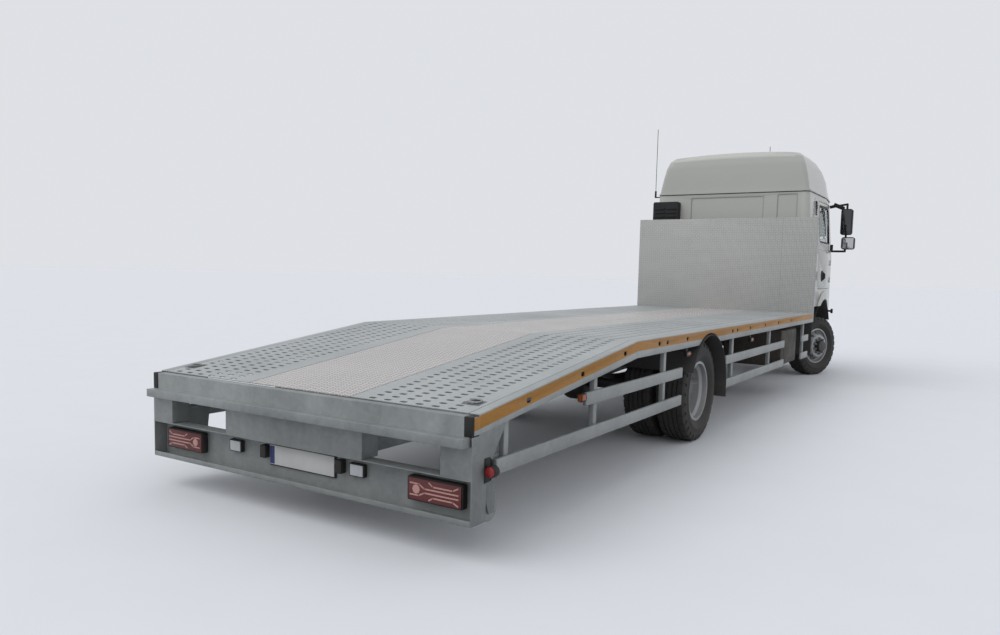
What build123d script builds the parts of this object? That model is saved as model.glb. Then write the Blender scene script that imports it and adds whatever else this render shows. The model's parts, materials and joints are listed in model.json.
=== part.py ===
from build123d import *
import os
from math import cos, radians, sin

# Car transporter truck: two axles, a high-roof sleeper cab and a galvanised cranked car deck.
# Millimetres. The truck faces -Y and +Z is up. The origin is on the ground, half way along.
# x is positive on the truck's left. Values called DROP, UP or IN are taken from the piece named.

# Main layout
FRONT_OVERHANG = 1250
WHEELBASE = 5900
REAR_OVERHANG = 3600
LEDGE_OUT = 60
DECK_WIDTH = 2500
CAB_LENGTH = 2500
CAB_GAP = 230

LENGTH = FRONT_OVERHANG + WHEELBASE + REAR_OVERHANG + LEDGE_OUT
FRONT_Y = -LENGTH / 2
FRONT_AXLE_Y = FRONT_Y + FRONT_OVERHANG
REAR_AXLE_Y = FRONT_AXLE_Y + WHEELBASE
TAIL_Y = REAR_AXLE_Y + REAR_OVERHANG
CAB_REAR_Y = FRONT_Y + CAB_LENGTH
HEAD_Y = CAB_REAR_Y + CAB_GAP
SIDE_X = DECK_WIDTH / 2
GAP = 0.3
SIDES = (("left", 1), ("right", -1))
UPRIGHT = (Align.CENTER, Align.CENTER, Align.MIN)

# Wheels and tyres, 19.5 inch
TYRE_R = 434
TYRE_WIDTH = 265
RIM_R = 248
FLANGE_UP = 12
RIM_WIDTH = 190
RIM_SKIN = 9
TWIN_SPACING = 298
REAR_OUTER_X = 1200
FRONT_OUTER_X = 1120
AXLE_Z = TYRE_R

# Chassis rails
RAIL_X = 430
RAIL_FLANGE = 70
RAIL_SKIN = 7
RAIL_LOW_Z = 580
RAIL_HEIGHT = 220
RAIL_TOP_Z = RAIL_LOW_Z + RAIL_HEIGHT
RAIL_FRONT_IN = 330
CROSS_TUBE_R = 45
CROSS_PITCH = 960

# Deck
DECK_TAIL_Z = 733
DECK_TOP_Z = 976
BEND_FROM_TAIL = 2010
SIDE_HEIGHT_TAIL = 100
SIDE_HEIGHT_LEVEL = 120
SIDE_FLANGE = 60
SIDE_SKIN = 5
PLATE = 5
CENTRE_HALF = 345
TRACK_GAP = 5
BEAM_DEPTH = 80
BEAM_WIDTH = 60
BEND_Y = TAIL_Y - BEND_FROM_TAIL


def deck_z(y):
    """Height of the deck's top at a place along the truck."""
    if y <= BEND_Y:
        return DECK_TOP_Z
    return DECK_TOP_Z + (DECK_TAIL_Z - DECK_TOP_Z) * (y - BEND_Y) / (TAIL_Y - BEND_Y)


def side_z(y):
    """Height of the side channel's lower edge."""
    low = DECK_TOP_Z - SIDE_HEIGHT_LEVEL
    if y <= BEND_Y:
        return low
    return low + (DECK_TAIL_Z - SIDE_HEIGHT_TAIL - low) * (y - BEND_Y) / (TAIL_Y - BEND_Y)


def block(x0, x1, y0, y1, z0, z1):
    """Box between two corners."""
    return Pos((x0 + x1) / 2, (y0 + y1) / 2, (z0 + z1) / 2) * Box(abs(x1 - x0), abs(y1 - y0), abs(z1 - z0))


def slab(points, x0, x1):
    """Side-view outline of (y, z) points, stretched across from x0 to x1."""
    low, high = sorted((x0, x1))
    face = Plane(origin=(low, 0, 0), x_dir=(0, 1, 0), z_dir=(1, 0, 0)) * Polygon(*points, align=None)
    return extrude(face, high - low, dir=(1, 0, 0))


def band(top, thick, y0, y1, x0, x1):
    """Plate that follows a height function along the truck, with its bend where the deck bends."""
    ys = [y0] + ([BEND_Y] if y0 < BEND_Y < y1 else []) + [y1]
    upper = [(y, top(y)) for y in ys]
    lower = [(y, top(y) - thick) for y in reversed(ys)]
    return slab(upper + lower, x0, x1)


def rod(start, end, r):
    """Round bar between two points."""
    line = Vector(*end) - Vector(*start)
    return Plane(origin=start, z_dir=line) * Cylinder(r, line.length, align=UPRIGHT)


def axle_disc(x, y, z, r, width):
    """Disc or drum turning about X, centred on x."""
    return Pos(x, y, z) * Rot(0, 90, 0) * Cylinder(r, width)


def turned(points, x, y, z, side):
    """Ring or wheel turned about X from an outline of (radius, offset outwards) points."""
    face = Plane.XZ * Polygon(*[(r, w) for r, w in points], align=None)
    return Pos(x, y, z) * Rot(0, 90 * side, 0) * revolve(face, Axis.Z)


def fuse(parts):
    """One shape from a list."""
    total = parts[0]
    for piece in parts[1:]:
        total = total + piece
    return total


def both(make):
    """The same piece on the left and on the right."""
    return [make(side) for _, side in SIDES]


nodes = {}


def save(name, shape):
    """Keep a node, as one compound of its solids."""
    solids = shape.solids() if not isinstance(shape, list) else [s for part in shape for s in part.solids()]
    nodes[name] = solids[0] if len(solids) == 1 else Compound(children=solids)


# Chassis frame: two C rails with tubes across, posts for the cab and brackets for its front pivot
RAIL_BEHIND_BEND = 120
RAIL_REAR_Y = BEND_Y + RAIL_BEHIND_BEND
RAIL_FRONT_Y = FRONT_Y + RAIL_FRONT_IN
RAIL_INNER_X = RAIL_X - RAIL_FLANGE
RAIL_WEB_X = RAIL_X - RAIL_SKIN
CROSS_DROP = 62
GEARBOX_REAR_IN = 2250
PIVOT_IN = 130
PIVOT_Z = 860
NOSE_HALF = 30
NOSE_DOWN = 60
NOSE_SLOPE = 15
CROSS_BEHIND_GEARBOX = 250
CAB_FLOOR_Z = 1150
POST_AHEAD = 170
POST_WIDTH = 60
PIVOT_Y = FRONT_Y + PIVOT_IN


def c_rail(side):
    """One C rail, open towards the middle."""
    solid = block(side * RAIL_INNER_X, side * RAIL_X, RAIL_FRONT_Y, RAIL_REAR_Y, RAIL_LOW_Z, RAIL_TOP_Z)
    hollow = block(side * (RAIL_INNER_X - 1), side * RAIL_WEB_X, RAIL_FRONT_Y - 1, RAIL_REAR_Y + 1,
                   RAIL_LOW_Z + RAIL_SKIN, RAIL_TOP_Z - RAIL_SKIN)
    return solid - hollow


def pivot_bracket(side):
    """Nose of the rail that reaches forward and carries one end of the cab's pivot."""
    x0, x1 = side * RAIL_INNER_X, side * RAIL_X
    outline = [(RAIL_FRONT_Y, RAIL_LOW_Z), (RAIL_FRONT_Y, RAIL_TOP_Z),
               (PIVOT_Y + NOSE_HALF + NOSE_SLOPE, PIVOT_Z + NOSE_HALF),
               (PIVOT_Y - NOSE_HALF, PIVOT_Z + NOSE_HALF),
               (PIVOT_Y - NOSE_HALF, PIVOT_Z - NOSE_DOWN), (PIVOT_Y + 2 * NOSE_HALF, RAIL_LOW_Z)]
    return slab(outline, x0, x1)


def cab_post(side):
    """Post on the rail under the back of the cab's floor."""
    y = CAB_REAR_Y - POST_AHEAD
    return block(side * RAIL_INNER_X, side * RAIL_X, y, y + POST_WIDTH, RAIL_TOP_Z, CAB_FLOOR_Z - GAP)


cross_z = RAIL_TOP_Z - CROSS_DROP
cross_first = FRONT_Y + GEARBOX_REAR_IN + CROSS_BEHIND_GEARBOX
cross_ys = [cross_first + CROSS_PITCH * n for n in range(int((RAIL_REAR_Y - cross_first) // CROSS_PITCH) + 1)]
cross_ys.append(RAIL_REAR_Y - CROSS_TUBE_R)
save("chassis_rails", [fuse([c_rail(side), pivot_bracket(side), cab_post(side)]) for _, side in SIDES])
save("cross_tubes", [rod((-RAIL_WEB_X, y, cross_z), (RAIL_WEB_X, y, cross_z), CROSS_TUBE_R)
                     for y in cross_ys])

# Engine and gearbox as one block, with feet in the rails, and the shaft to the rear axle
ENGINE_FRONT_IN = 480
ENGINE_LENGTH = 1150
ENGINE_HALF = 290
ENGINE_LOW_Z = 520
ENGINE_TOP_Z = 1090
GEARBOX_HALF = 190
FOOT = 90
PROP_R = 45
PROP_Z = 660
ENGINE_FRONT_Y = FRONT_Y + ENGINE_FRONT_IN
ENGINE_REAR_Y = ENGINE_FRONT_Y + ENGINE_LENGTH
GEARBOX_REAR_Y = FRONT_Y + GEARBOX_REAR_IN


def upright(y, width, height, z, radius):
    """Rounded rectangle that stands across the truck."""
    plane = Plane(origin=(0, y, z), x_dir=(1, 0, 0), z_dir=(0, -1, 0))
    return plane * RectangleRounded(width, height, radius)


engine = fillet(block(-ENGINE_HALF, ENGINE_HALF, ENGINE_FRONT_Y, ENGINE_REAR_Y, ENGINE_LOW_Z, ENGINE_TOP_Z)
                .edges().filter_by(Axis.Y), FOOT / 2)
gearbox = loft([upright(GEARBOX_REAR_Y, GEARBOX_HALF, GEARBOX_HALF, PROP_Z, PROP_R),
                upright(ENGINE_REAR_Y, 2 * GEARBOX_HALF, 1.5 * GEARBOX_HALF, PROP_Z, PROP_R)])
feet = [block(side * (ENGINE_HALF - FOOT), side * RAIL_WEB_X, y - FOOT, y, RAIL_LOW_Z + RAIL_SKIN,
              RAIL_LOW_Z + RAIL_SKIN + FOOT)
        for _, side in SIDES for y in (ENGINE_FRONT_Y + 3 * FOOT, ENGINE_REAR_Y - FOOT)]
save("engine_block", fuse([engine, gearbox] + feet))

# Wheels: a rim with its disc dished to one side, and a tyre with bulged walls
RIM_HALF = RIM_WIDTH / 2
RIM_LIP = 8
RIM_WELL = 22
WELL_HALF = 40
DISH_OUT = 142
DISC_SKIN = 12
DISC_RIM_R = 165
BORE_R = 80
HAND_HOLES = 10
HAND_HOLE_R = 18
HAND_HOLE_AT_R = 189


def rim(x, y, dish):
    """Rim about X at x. Its disc is dished along X by the sign of dish."""
    out = RIM_R + FLANGE_UP
    seat, well = RIM_R, RIM_R - RIM_WELL
    inner_seat, inner_well = seat - RIM_SKIN, well - RIM_SKIN
    edge = RIM_HALF + RIM_LIP
    outline = [(out, -edge), (out, -RIM_HALF), (seat, -RIM_HALF), (seat, -WELL_HALF - RIM_WELL),
               (well, -WELL_HALF), (well, WELL_HALF), (seat, WELL_HALF + RIM_WELL), (seat, RIM_HALF),
               (out, RIM_HALF), (out, edge), (inner_seat, edge), (inner_seat, WELL_HALF + RIM_WELL),
               (inner_well, WELL_HALF),
               (DISC_RIM_R, DISH_OUT), (BORE_R, DISH_OUT), (BORE_R, DISH_OUT - DISC_SKIN),
               (DISC_RIM_R - DISC_SKIN / 2, DISH_OUT - DISC_SKIN), (inner_well, WELL_HALF - 2 * DISC_SKIN),
               (inner_well, -WELL_HALF), (inner_seat, -WELL_HALF - RIM_WELL), (inner_seat, -edge)]
    shape = turned(outline, x, y, AXLE_Z, dish)
    for n in range(HAND_HOLES):
        turn = radians(360 * (n + 0.5) / HAND_HOLES)
        shape = shape - axle_disc(x + dish * DISH_OUT / 2, y + HAND_HOLE_AT_R * cos(turn),
                                  AXLE_Z + HAND_HOLE_AT_R * sin(turn), HAND_HOLE_R, DISH_OUT)
    return shape


BEAD_CLEAR = 3
# radius, half width: from the bead over the wall's bulge to the shoulder and the tread
TYRE_OUTLINE = (
    (RIM_R + GAP, RIM_HALF - GAP),
    (RIM_R + FLANGE_UP + BEAD_CLEAR, RIM_HALF - GAP),
    (RIM_R + FLANGE_UP + 2 * BEAD_CLEAR, RIM_HALF + RIM_LIP + 2 * BEAD_CLEAR),
    (RIM_R + 0.48 * (TYRE_R - RIM_R), TYRE_WIDTH / 2),
    (TYRE_R - 46, TYRE_WIDTH / 2 - 6),
    (TYRE_R - 14, TYRE_WIDTH / 2 - 20),
    (TYRE_R, TYRE_WIDTH / 2 - 36),
)


def tyre(x, y):
    """Tyre about X at x."""
    outline = list(TYRE_OUTLINE) + [(r, -w) for r, w in reversed(TYRE_OUTLINE)]
    return turned(outline, x, y, AXLE_Z, 1)


# Rear axle with twin wheels: the dished discs meet back to back on the hub
AXLE_TUBE_R = 58
DIFF_R = 190
DIFF_WIDTH = 240
NOSE_LENGTH = 330
NOSE_R = 70
NOSE_ROOT_R = 140
DRUM_R = 195
DRUM_STEP = 40
DRUM_WIDTH = 170
HUB_CAP_OUT = 130
HUB_FACE_R = 160
BACKPLATE = 14
rear_outer_x = REAR_OUTER_X - TYRE_WIDTH / 2
rear_inner_x = rear_outer_x - TWIN_SPACING
twin_x = (rear_outer_x + rear_inner_x) / 2
disc_x = rear_outer_x - DISH_OUT
drum_end_x = rear_inner_x + DISH_OUT - DISC_SKIN - GAP
drum_start_x = drum_end_x - DRUM_WIDTH
backplate_x = drum_start_x - GAP - BACKPLATE / 2


def rear_hub(side):
    """Brake drum, hub and hub cap, which turn with the twin wheels."""
    bell = axle_disc(side * (drum_start_x + drum_end_x) / 2, REAR_AXLE_Y, AXLE_Z, DRUM_R - DRUM_STEP,
                     DRUM_WIDTH)
    drum = axle_disc(side * (drum_start_x + DRUM_WIDTH / 3), REAR_AXLE_Y, AXLE_Z, DRUM_R, DRUM_WIDTH * 2 / 3)
    core = rod((side * drum_end_x, REAR_AXLE_Y, AXLE_Z), (side * (disc_x + HUB_CAP_OUT), REAR_AXLE_Y, AXLE_Z),
               BORE_R - GAP)
    spacer = axle_disc(side * twin_x, REAR_AXLE_Y, AXLE_Z, HUB_FACE_R,
                       rear_outer_x - rear_inner_x - 2 * DISH_OUT - 2 * GAP)
    return fuse([bell, drum, core, spacer])


diff = rod((-DIFF_WIDTH / 2, REAR_AXLE_Y, AXLE_Z), (DIFF_WIDTH / 2, REAR_AXLE_Y, AXLE_Z), DIFF_R)
diff = fillet(diff.edges().filter_by(GeomType.CIRCLE), DIFF_WIDTH / 3)
nose = Plane(origin=(0, REAR_AXLE_Y, AXLE_Z), z_dir=(0, -1, 0)) * Cone(
    NOSE_ROOT_R, NOSE_R, NOSE_LENGTH, align=UPRIGHT)
axle_tube = rod((-backplate_x, REAR_AXLE_Y, AXLE_Z), (backplate_x, REAR_AXLE_Y, AXLE_Z), AXLE_TUBE_R)
backplates = [axle_disc(side * backplate_x, REAR_AXLE_Y, AXLE_Z, DRUM_R, BACKPLATE) for _, side in SIDES]
save("rear_axle", fuse([diff, nose, axle_tube] + backplates))
save("propshaft", rod((0, GEARBOX_REAR_Y, PROP_Z), (0, REAR_AXLE_Y - NOSE_LENGTH, AXLE_Z), PROP_R)
     - block(-NOSE_R, NOSE_R, REAR_AXLE_Y - NOSE_LENGTH - GAP, REAR_AXLE_Y, 0, RAIL_TOP_Z)
     - block(-NOSE_R, NOSE_R, GEARBOX_REAR_Y + GAP, ENGINE_REAR_Y, 0, RAIL_TOP_Z))

for name, side in SIDES:
    save(f"tyres_rear_{name}", [tyre(side * x, REAR_AXLE_Y) for x in (rear_outer_x, rear_inner_x)])
    save(f"rims_rear_{name}", [rim(side * rear_outer_x, REAR_AXLE_Y, -side),
                               rim(side * rear_inner_x, REAR_AXLE_Y, side), rear_hub(side)])

# Front axle: a dropped beam between upright king pins, with steered knuckles and one track rod
STEER_REST = -25
KING_PIN_X = 845
KING_PIN_R = 18
EYE_R = 42
EYE_HALF = 58
EAR = 48
BEAM_WIDTH_Y = 90
BEAM_HEIGHT = 80
BEAM_DROP = 54
BEAM_SEAT_X = 395
BEAM_SEAT = 22
BEAM_SEAT_HALF = 55
BEAM_EYE_LAP = 34
BEAM_EYE_UP = 36
BEAM_SWEEP = 210
STUB_R = 30
STUB_WEB_X = 52
STUB_WEB = 28
SHIELD_R = 190
SHIELD = 16
STUB_HALF_Y = 36
BOSS_R = 38
ARM_BACK = 160
ARM_DOWN = 96
ARM_THICK = 22
BALL_R = 27
BALL_PIN_R = 12
BALL_PIN_UP = 8
ROD_R = 17
HUB_CLEAR = 4
HUB_BODY_R = 155
HUB_CAP = 60
front_x = FRONT_OUTER_X - TYRE_WIDTH / 2
beam_low = AXLE_Z - BEAM_DROP - BEAM_HEIGHT / 2
beam_top = beam_low + BEAM_HEIGHT


def across(points, y0, y1):
    """Front-view outline of (x, z) points, stretched along the truck."""
    face = Plane(origin=(0, y1, 0), x_dir=(1, 0, 0), z_dir=(0, -1, 0)) * Polygon(*points, align=None)
    return extrude(face, y1 - y0, dir=(0, -1, 0))


# x, height above the axle's middle, for the right half of the beam's upper edge
BEAM_LINE = ((KING_PIN_X - BEAM_EYE_LAP, BEAM_EYE_UP),
             (KING_PIN_X - BEAM_SWEEP, -BEAM_DROP + BEAM_HEIGHT / 2))
upper = [(x, AXLE_Z + h) for x, h in BEAM_LINE]
lower = [(x, z - BEAM_HEIGHT) for x, z in reversed(upper)]
beam_outline = upper + [(-x, z) for x, z in reversed(upper)] + [(-x, z) for x, z in reversed(lower)] + lower
beam = across(beam_outline, FRONT_AXLE_Y - BEAM_WIDTH_Y / 2, FRONT_AXLE_Y + BEAM_WIDTH_Y / 2)
for _, side in SIDES:
    king = Pos(side * KING_PIN_X, FRONT_AXLE_Y, AXLE_Z)
    beam = beam + king * Cylinder(EYE_R, 2 * EYE_HALF)
    beam = beam + block(side * (BEAM_SEAT_X - BEAM_SEAT_HALF), side * (BEAM_SEAT_X + BEAM_SEAT_HALF),
                        FRONT_AXLE_Y - BEAM_WIDTH_Y / 2, FRONT_AXLE_Y + BEAM_WIDTH_Y / 2, beam_top,
                        beam_top + BEAM_SEAT)
    beam = beam - king * Cylinder(KING_PIN_R + GAP, 3 * EYE_HALF)
save("front_axle_beam", beam)


def steered(shape, side):
    """Turn a front wheel's piece about its king pin to the parked angle."""
    return Pos(side * KING_PIN_X, FRONT_AXLE_Y, 0) * Rot(0, 0, STEER_REST) * Pos(
        -side * KING_PIN_X, -FRONT_AXLE_Y, 0) * shape


def knuckle(side):
    """Ears and king pin, web, stub axle, brake shield and the arm to the track rod."""
    pin = Pos(side * KING_PIN_X, FRONT_AXLE_Y, AXLE_Z) * Cylinder(KING_PIN_R, 2 * (EYE_HALF + EAR))
    web_x = KING_PIN_X + STUB_WEB_X
    stub_end = front_x + DISH_OUT
    pieces = [pin]
    for end in (-1, 1):
        z0, z1 = sorted((AXLE_Z + end * (EYE_HALF + GAP), AXLE_Z + end * (EYE_HALF + EAR)))
        pieces.append(Pos(side * KING_PIN_X, FRONT_AXLE_Y, (z0 + z1) / 2) * Cylinder(BOSS_R, z1 - z0))
        pieces.append(block(side * KING_PIN_X, side * (web_x + STUB_WEB), FRONT_AXLE_Y - STUB_HALF_Y,
                            FRONT_AXLE_Y + STUB_HALF_Y, z0, z1))
    pieces.append(block(side * web_x, side * (web_x + STUB_WEB), FRONT_AXLE_Y - STUB_HALF_Y,
                        FRONT_AXLE_Y + STUB_HALF_Y, AXLE_Z - EYE_HALF - EAR, AXLE_Z + EYE_HALF + EAR))
    pieces.append(axle_disc(side * (web_x + STUB_WEB + SHIELD / 2), FRONT_AXLE_Y, AXLE_Z, SHIELD_R, SHIELD))
    pieces.append(rod((side * web_x, FRONT_AXLE_Y, AXLE_Z), (side * stub_end, FRONT_AXLE_Y, AXLE_Z), STUB_R))
    arm_top = AXLE_Z - ARM_DOWN
    arm = block(side * KING_PIN_X - BALL_R, side * KING_PIN_X + BALL_R, FRONT_AXLE_Y, FRONT_AXLE_Y + ARM_BACK,
                arm_top - ARM_THICK, arm_top)
    ball_spot = Pos(side * KING_PIN_X, FRONT_AXLE_Y + ARM_BACK, arm_top)
    pieces += [arm, ball_spot * Cylinder(BALL_R, ARM_THICK, align=(Align.CENTER, Align.CENTER, Align.MAX)),
               ball_spot * Cylinder(BALL_PIN_R, 2 * ROD_R + BALL_PIN_UP,
                                    align=UPRIGHT)]
    return steered(fuse(pieces), side)


def front_hub(side):
    """Hub that turns on the stub axle and carries the front wheel's disc."""
    start = KING_PIN_X + STUB_WEB_X + STUB_WEB + SHIELD + HUB_CLEAR
    end = front_x + DISH_OUT

    def drum(stop, r):
        return rod((side * start, FRONT_AXLE_Y, AXLE_Z), (side * stop, FRONT_AXLE_Y, AXLE_Z), r)

    hub = drum(end - DISC_SKIN - GAP, HUB_BODY_R) + drum(end + HUB_CAP, BORE_R - GAP)
    return steered(hub - drum(end + HUB_CLEAR, STUB_R + GAP), side)


for name, side in SIDES:
    save(f"knuckle_{name}", knuckle(side))
    save(f"tyre_front_{name}", steered(tyre(side * front_x, FRONT_AXLE_Y), side))
    save(f"rim_front_{name}", [steered(rim(side * front_x, FRONT_AXLE_Y, side), side), front_hub(side)])

turn = radians(STEER_REST)
ball_dx, ball_y = -ARM_BACK * sin(turn), FRONT_AXLE_Y + ARM_BACK * cos(turn)
rod_z = AXLE_Z - ARM_DOWN + GAP + ROD_R
ball_left, ball_right = (KING_PIN_X + ball_dx, ball_y, rod_z), (-KING_PIN_X + ball_dx, ball_y, rod_z)
track_rod = rod(ball_left, ball_right, ROD_R)
for ball in (ball_left, ball_right):
    track_rod = track_rod + Pos(*ball) * Cylinder(BALL_R, 2 * ROD_R)
for ball in (ball_left, ball_right):
    track_rod = track_rod - Pos(*ball) * Cylinder(BALL_PIN_R + GAP, 4 * ROD_R)
save("track_rod", track_rod)

# Leaf springs, one pack at each wheel, with eyes in hangers on the rails
LEAF_WIDTH = 70
REAR_SPRING_X = RAIL_X + LEAF_WIDTH / 2 + 27
FRONT_EYE_DOWN = 50
REAR_EYE_UP = 40
# axle y, middle x, half length, leaf thickness, seat height, eye height
SPRINGS = (
    (FRONT_AXLE_Y, BEAM_SEAT_X, 760, 34, beam_top + BEAM_SEAT, RAIL_LOW_Z - FRONT_EYE_DOWN),
    (REAR_AXLE_Y, REAR_SPRING_X, 700, 46, AXLE_Z + AXLE_TUBE_R, RAIL_LOW_Z + REAR_EYE_UP),
)


def leaf_spring(side, axle_y, x, half, thick, seat, eye_z):
    """One pack: a bowed bar clamped on the axle, with an eye and a hanger at each end."""
    curves = [ThreePointArc((axle_y - half, eye_z + h), (axle_y, seat + thick / 2 + h),
                            (axle_y + half, eye_z + h)) for h in (-thick / 2, thick / 2)]
    ends = [Line(curves[0] @ n, curves[1] @ n) for n in (0, 1)]
    plane = Plane(origin=(side * x - LEAF_WIDTH / 2, 0, 0), x_dir=(0, 1, 0), z_dir=(1, 0, 0))
    spring = extrude(plane * make_face(curves + ends), LEAF_WIDTH, dir=(1, 0, 0))
    rail_side = x - LEAF_WIDTH / 2 > RAIL_X
    for end_y in (axle_y - half, axle_y + half):
        spring = spring + axle_disc(side * x, end_y, eye_z, thick, LEAF_WIDTH)
        if rail_side:
            spring = spring + block(side * RAIL_X, side * (x + LEAF_WIDTH / 2), end_y - thick, end_y + thick,
                                    eye_z, eye_z + 2 * thick)
        else:
            spring = spring + block(side * (x - LEAF_WIDTH / 2), side * (x + LEAF_WIDTH / 2), end_y - thick,
                                    end_y + thick, eye_z, RAIL_LOW_Z)
    return spring


save("leaf_springs", [leaf_spring(side, *row) for row in SPRINGS for _, side in SIDES])

# Rear mudguards: one arch over each pair of twin wheels, with a flap at the front
GUARD_R = 497
GUARD_SKIN = 5
GUARD_FORWARD = 30
GUARD_OUT = 12
GUARD_INNER_IN = 585
GUARD_FLAP_Z = 330
GUARD_REAR_Z = 640
GUARD_STAY_R = 17
GUARD_STAY_TURN = 50
GUARD_STAY_SUNK = 3
GUARD_STAY_IN = 30
LONG_BEAM_X = RAIL_X - 5
guard_y = REAR_AXLE_Y - GUARD_FORWARD
guard_x = SIDE_X + GUARD_OUT
guard_inner_x = REAR_OUTER_X - GUARD_INNER_IN


def arch_disc(r, x0, x1, y, z):
    """Round block across the truck, for an arch about a wheel."""
    return axle_disc((x0 + x1) / 2, y, z, r, abs(x1 - x0))


def rear_mudguard(side):
    """Half-round arch, a flap that hangs in front of the wheels and a stay to the deck's beam."""
    x0, x1 = side * guard_inner_x, side * guard_x
    ring = arch_disc(GUARD_R, x0, x1, guard_y, AXLE_Z)
    ring = ring - arch_disc(GUARD_R - GUARD_SKIN, 0, 2 * x1, guard_y, AXLE_Z)
    ring = ring - block(0, 2 * x1, guard_y - 2 * GUARD_R, guard_y + 2 * GUARD_R, -GUARD_R, AXLE_Z)
    ring = ring - block(0, 2 * x1, guard_y, guard_y + 2 * GUARD_R, 0, GUARD_REAR_Z)
    shape = ring + block(x0, x1, guard_y - GUARD_R, guard_y - GUARD_R + GUARD_SKIN, GUARD_FLAP_Z, AXLE_Z)
    stay_r = GUARD_R + GUARD_STAY_R - GUARD_STAY_SUNK
    stay_x = REAR_OUTER_X - GUARD_STAY_IN
    z = AXLE_Z + stay_r * sin(radians(GUARD_STAY_TURN))
    for way in (-1, 1):
        y = guard_y + way * stay_r * cos(radians(GUARD_STAY_TURN))
        shape = shape + rod((side * LONG_BEAM_X, y, z), (side * stay_x, y, z), GUARD_STAY_R)
    return shape


save("rear_mudguards", both(rear_mudguard))

# Deck: side channels, cross beams on two long beams, perforated tracks and a chequered middle
TAIL_BAR = 60
LONG_BEAM_WIDTH = 60
LASHING_HOLE = (48, 30)
LASHING_DOWN = 47
NOTCH_CLEAR = 14
# distance forward of the tail of each lashing hole in the side channels
LASHING_HOLES = (530, 1170, 1800, 2425, 2590, 3040, 4300, 4460, 4910, 5510, 6100, 6730)
deck_end_y = TAIL_Y - TAIL_BAR
beam_top_z = DECK_TOP_Z - PLATE
beam_low_z = beam_top_z - BEAM_DEPTH


def under_plate(y):
    """Height of the deck plates' underside."""
    return deck_z(y) - PLATE


def side_channel(side):
    """C channel along the whole deck, notched over the mudguard and pierced for lashing."""
    web = band(deck_z, SIDE_HEIGHT_LEVEL, HEAD_Y, deck_end_y, side * (SIDE_X - SIDE_SKIN), side * SIDE_X)
    under = slab([(HEAD_Y - 1, side_z(HEAD_Y)), (BEND_Y, side_z(BEND_Y)), (TAIL_Y, side_z(TAIL_Y)),
                  (TAIL_Y, 0), (HEAD_Y - 1, 0)], side * (SIDE_X - SIDE_FLANGE - 1), side * (SIDE_X + 1))
    web = web - under
    top = band(deck_z, PLATE, HEAD_Y, deck_end_y, side * (SIDE_X - SIDE_FLANGE), side * (SIDE_X - SIDE_SKIN))
    low = band(lambda y: side_z(y) + SIDE_SKIN, SIDE_SKIN, HEAD_Y, deck_end_y, side * (SIDE_X - SIDE_FLANGE),
               side * (SIDE_X - SIDE_SKIN))
    shape = fuse([web, top, low])
    shape = shape - arch_disc(GUARD_R + NOTCH_CLEAR, side * (SIDE_X - 2 * SIDE_FLANGE), side * (SIDE_X + 1),
                              guard_y, AXLE_Z)
    for forward in LASHING_HOLES:
        y = TAIL_Y - forward
        plane = Plane(origin=(side * (SIDE_X - 2 * SIDE_SKIN), y, deck_z(y) - LASHING_DOWN), x_dir=(0, 1, 0),
                      z_dir=(side, 0, 0))
        shape = shape - extrude(plane * SlotOverall(*LASHING_HOLE), 4 * SIDE_SKIN)
    return shape


save("deck_sides", both(side_channel))

BEAM_PITCH = 620
BEAM_ARCH_CLEAR = 103
SHORT_BEAM_IN = 15
beam_half = SIDE_X - SIDE_FLANGE - GAP
short_half = guard_inner_x - SHORT_BEAM_IN
pitch_count = int((deck_end_y - 2 * BEAM_WIDTH - HEAD_Y) // BEAM_PITCH) + 1
beam_ys = [HEAD_Y + BEAM_WIDTH / 2 + BEAM_PITCH * n for n in range(pitch_count)]


def cross_beam(y):
    """Beam across the deck, cut short between the wheel arches."""
    half = short_half if abs(y - guard_y) < GUARD_R + BEAM_ARCH_CLEAR else beam_half
    y0, y1 = y - BEAM_WIDTH / 2, y + BEAM_WIDTH / 2
    return band(under_plate, BEAM_DEPTH, y0, y1, -half, half)


def long_beam(side):
    """Beam along the top of the chassis rail, under the cross beams."""
    return block(side * (LONG_BEAM_X - LONG_BEAM_WIDTH), side * LONG_BEAM_X, HEAD_Y, BEND_Y, RAIL_TOP_Z,
                 beam_low_z)


save("cross_beams", [cross_beam(y) for y in beam_ys])
save("long_beams", both(long_beam))

track_in, track_out = CENTRE_HALF + TRACK_GAP, SIDE_X - SIDE_FLANGE
save("deck_tracks", [band(deck_z, PLATE, HEAD_Y, deck_end_y, side * track_in, side * track_out)
                     for _, side in SIDES])
save("deck_floor", band(deck_z, PLATE, HEAD_Y, deck_end_y, -CENTRE_HALF, CENTRE_HALF))

# Headboard behind the cab: a chequered plate on a frame of square tubes
HEAD_TOP_Z = 2245
HEAD_PLATE = 4
HEAD_TUBE = 50
HEAD_POSTS = (SIDE_X - HEAD_TUBE / 2, RAIL_X)
head_y0, head_y1 = HEAD_Y - HEAD_PLATE - HEAD_TUBE, HEAD_Y - HEAD_PLATE
head_low = DECK_TOP_Z - SIDE_HEIGHT_LEVEL
save("headboard", block(-SIDE_X, SIDE_X, head_y1, HEAD_Y, head_low, HEAD_TOP_Z))
head_parts = []
for z in (head_low, HEAD_TOP_Z - HEAD_TUBE, (DECK_TOP_Z + HEAD_TOP_Z) / 2):
    head_parts.append(block(-SIDE_X, SIDE_X, head_y0, head_y1, z, z + HEAD_TUBE))
for x in HEAD_POSTS:
    head_parts += [block(side * (x - HEAD_TUBE / 2), side * (x + HEAD_TUBE / 2), head_y0, head_y1, head_low,
                         HEAD_TOP_Z) for _, side in SIDES]
for _, side in SIDES:
    head_parts.append(block(side * RAIL_INNER_X, side * RAIL_X, head_y0, head_y1, RAIL_TOP_Z, head_low))
save("headboard_frame", fuse(head_parts))

# Sizes that the tail's pieces share
POST_SKIN = 6
WEB_BACK = 85
BEAM_TOP_Z = 420
BEAM_LOW_Z = 190

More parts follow.
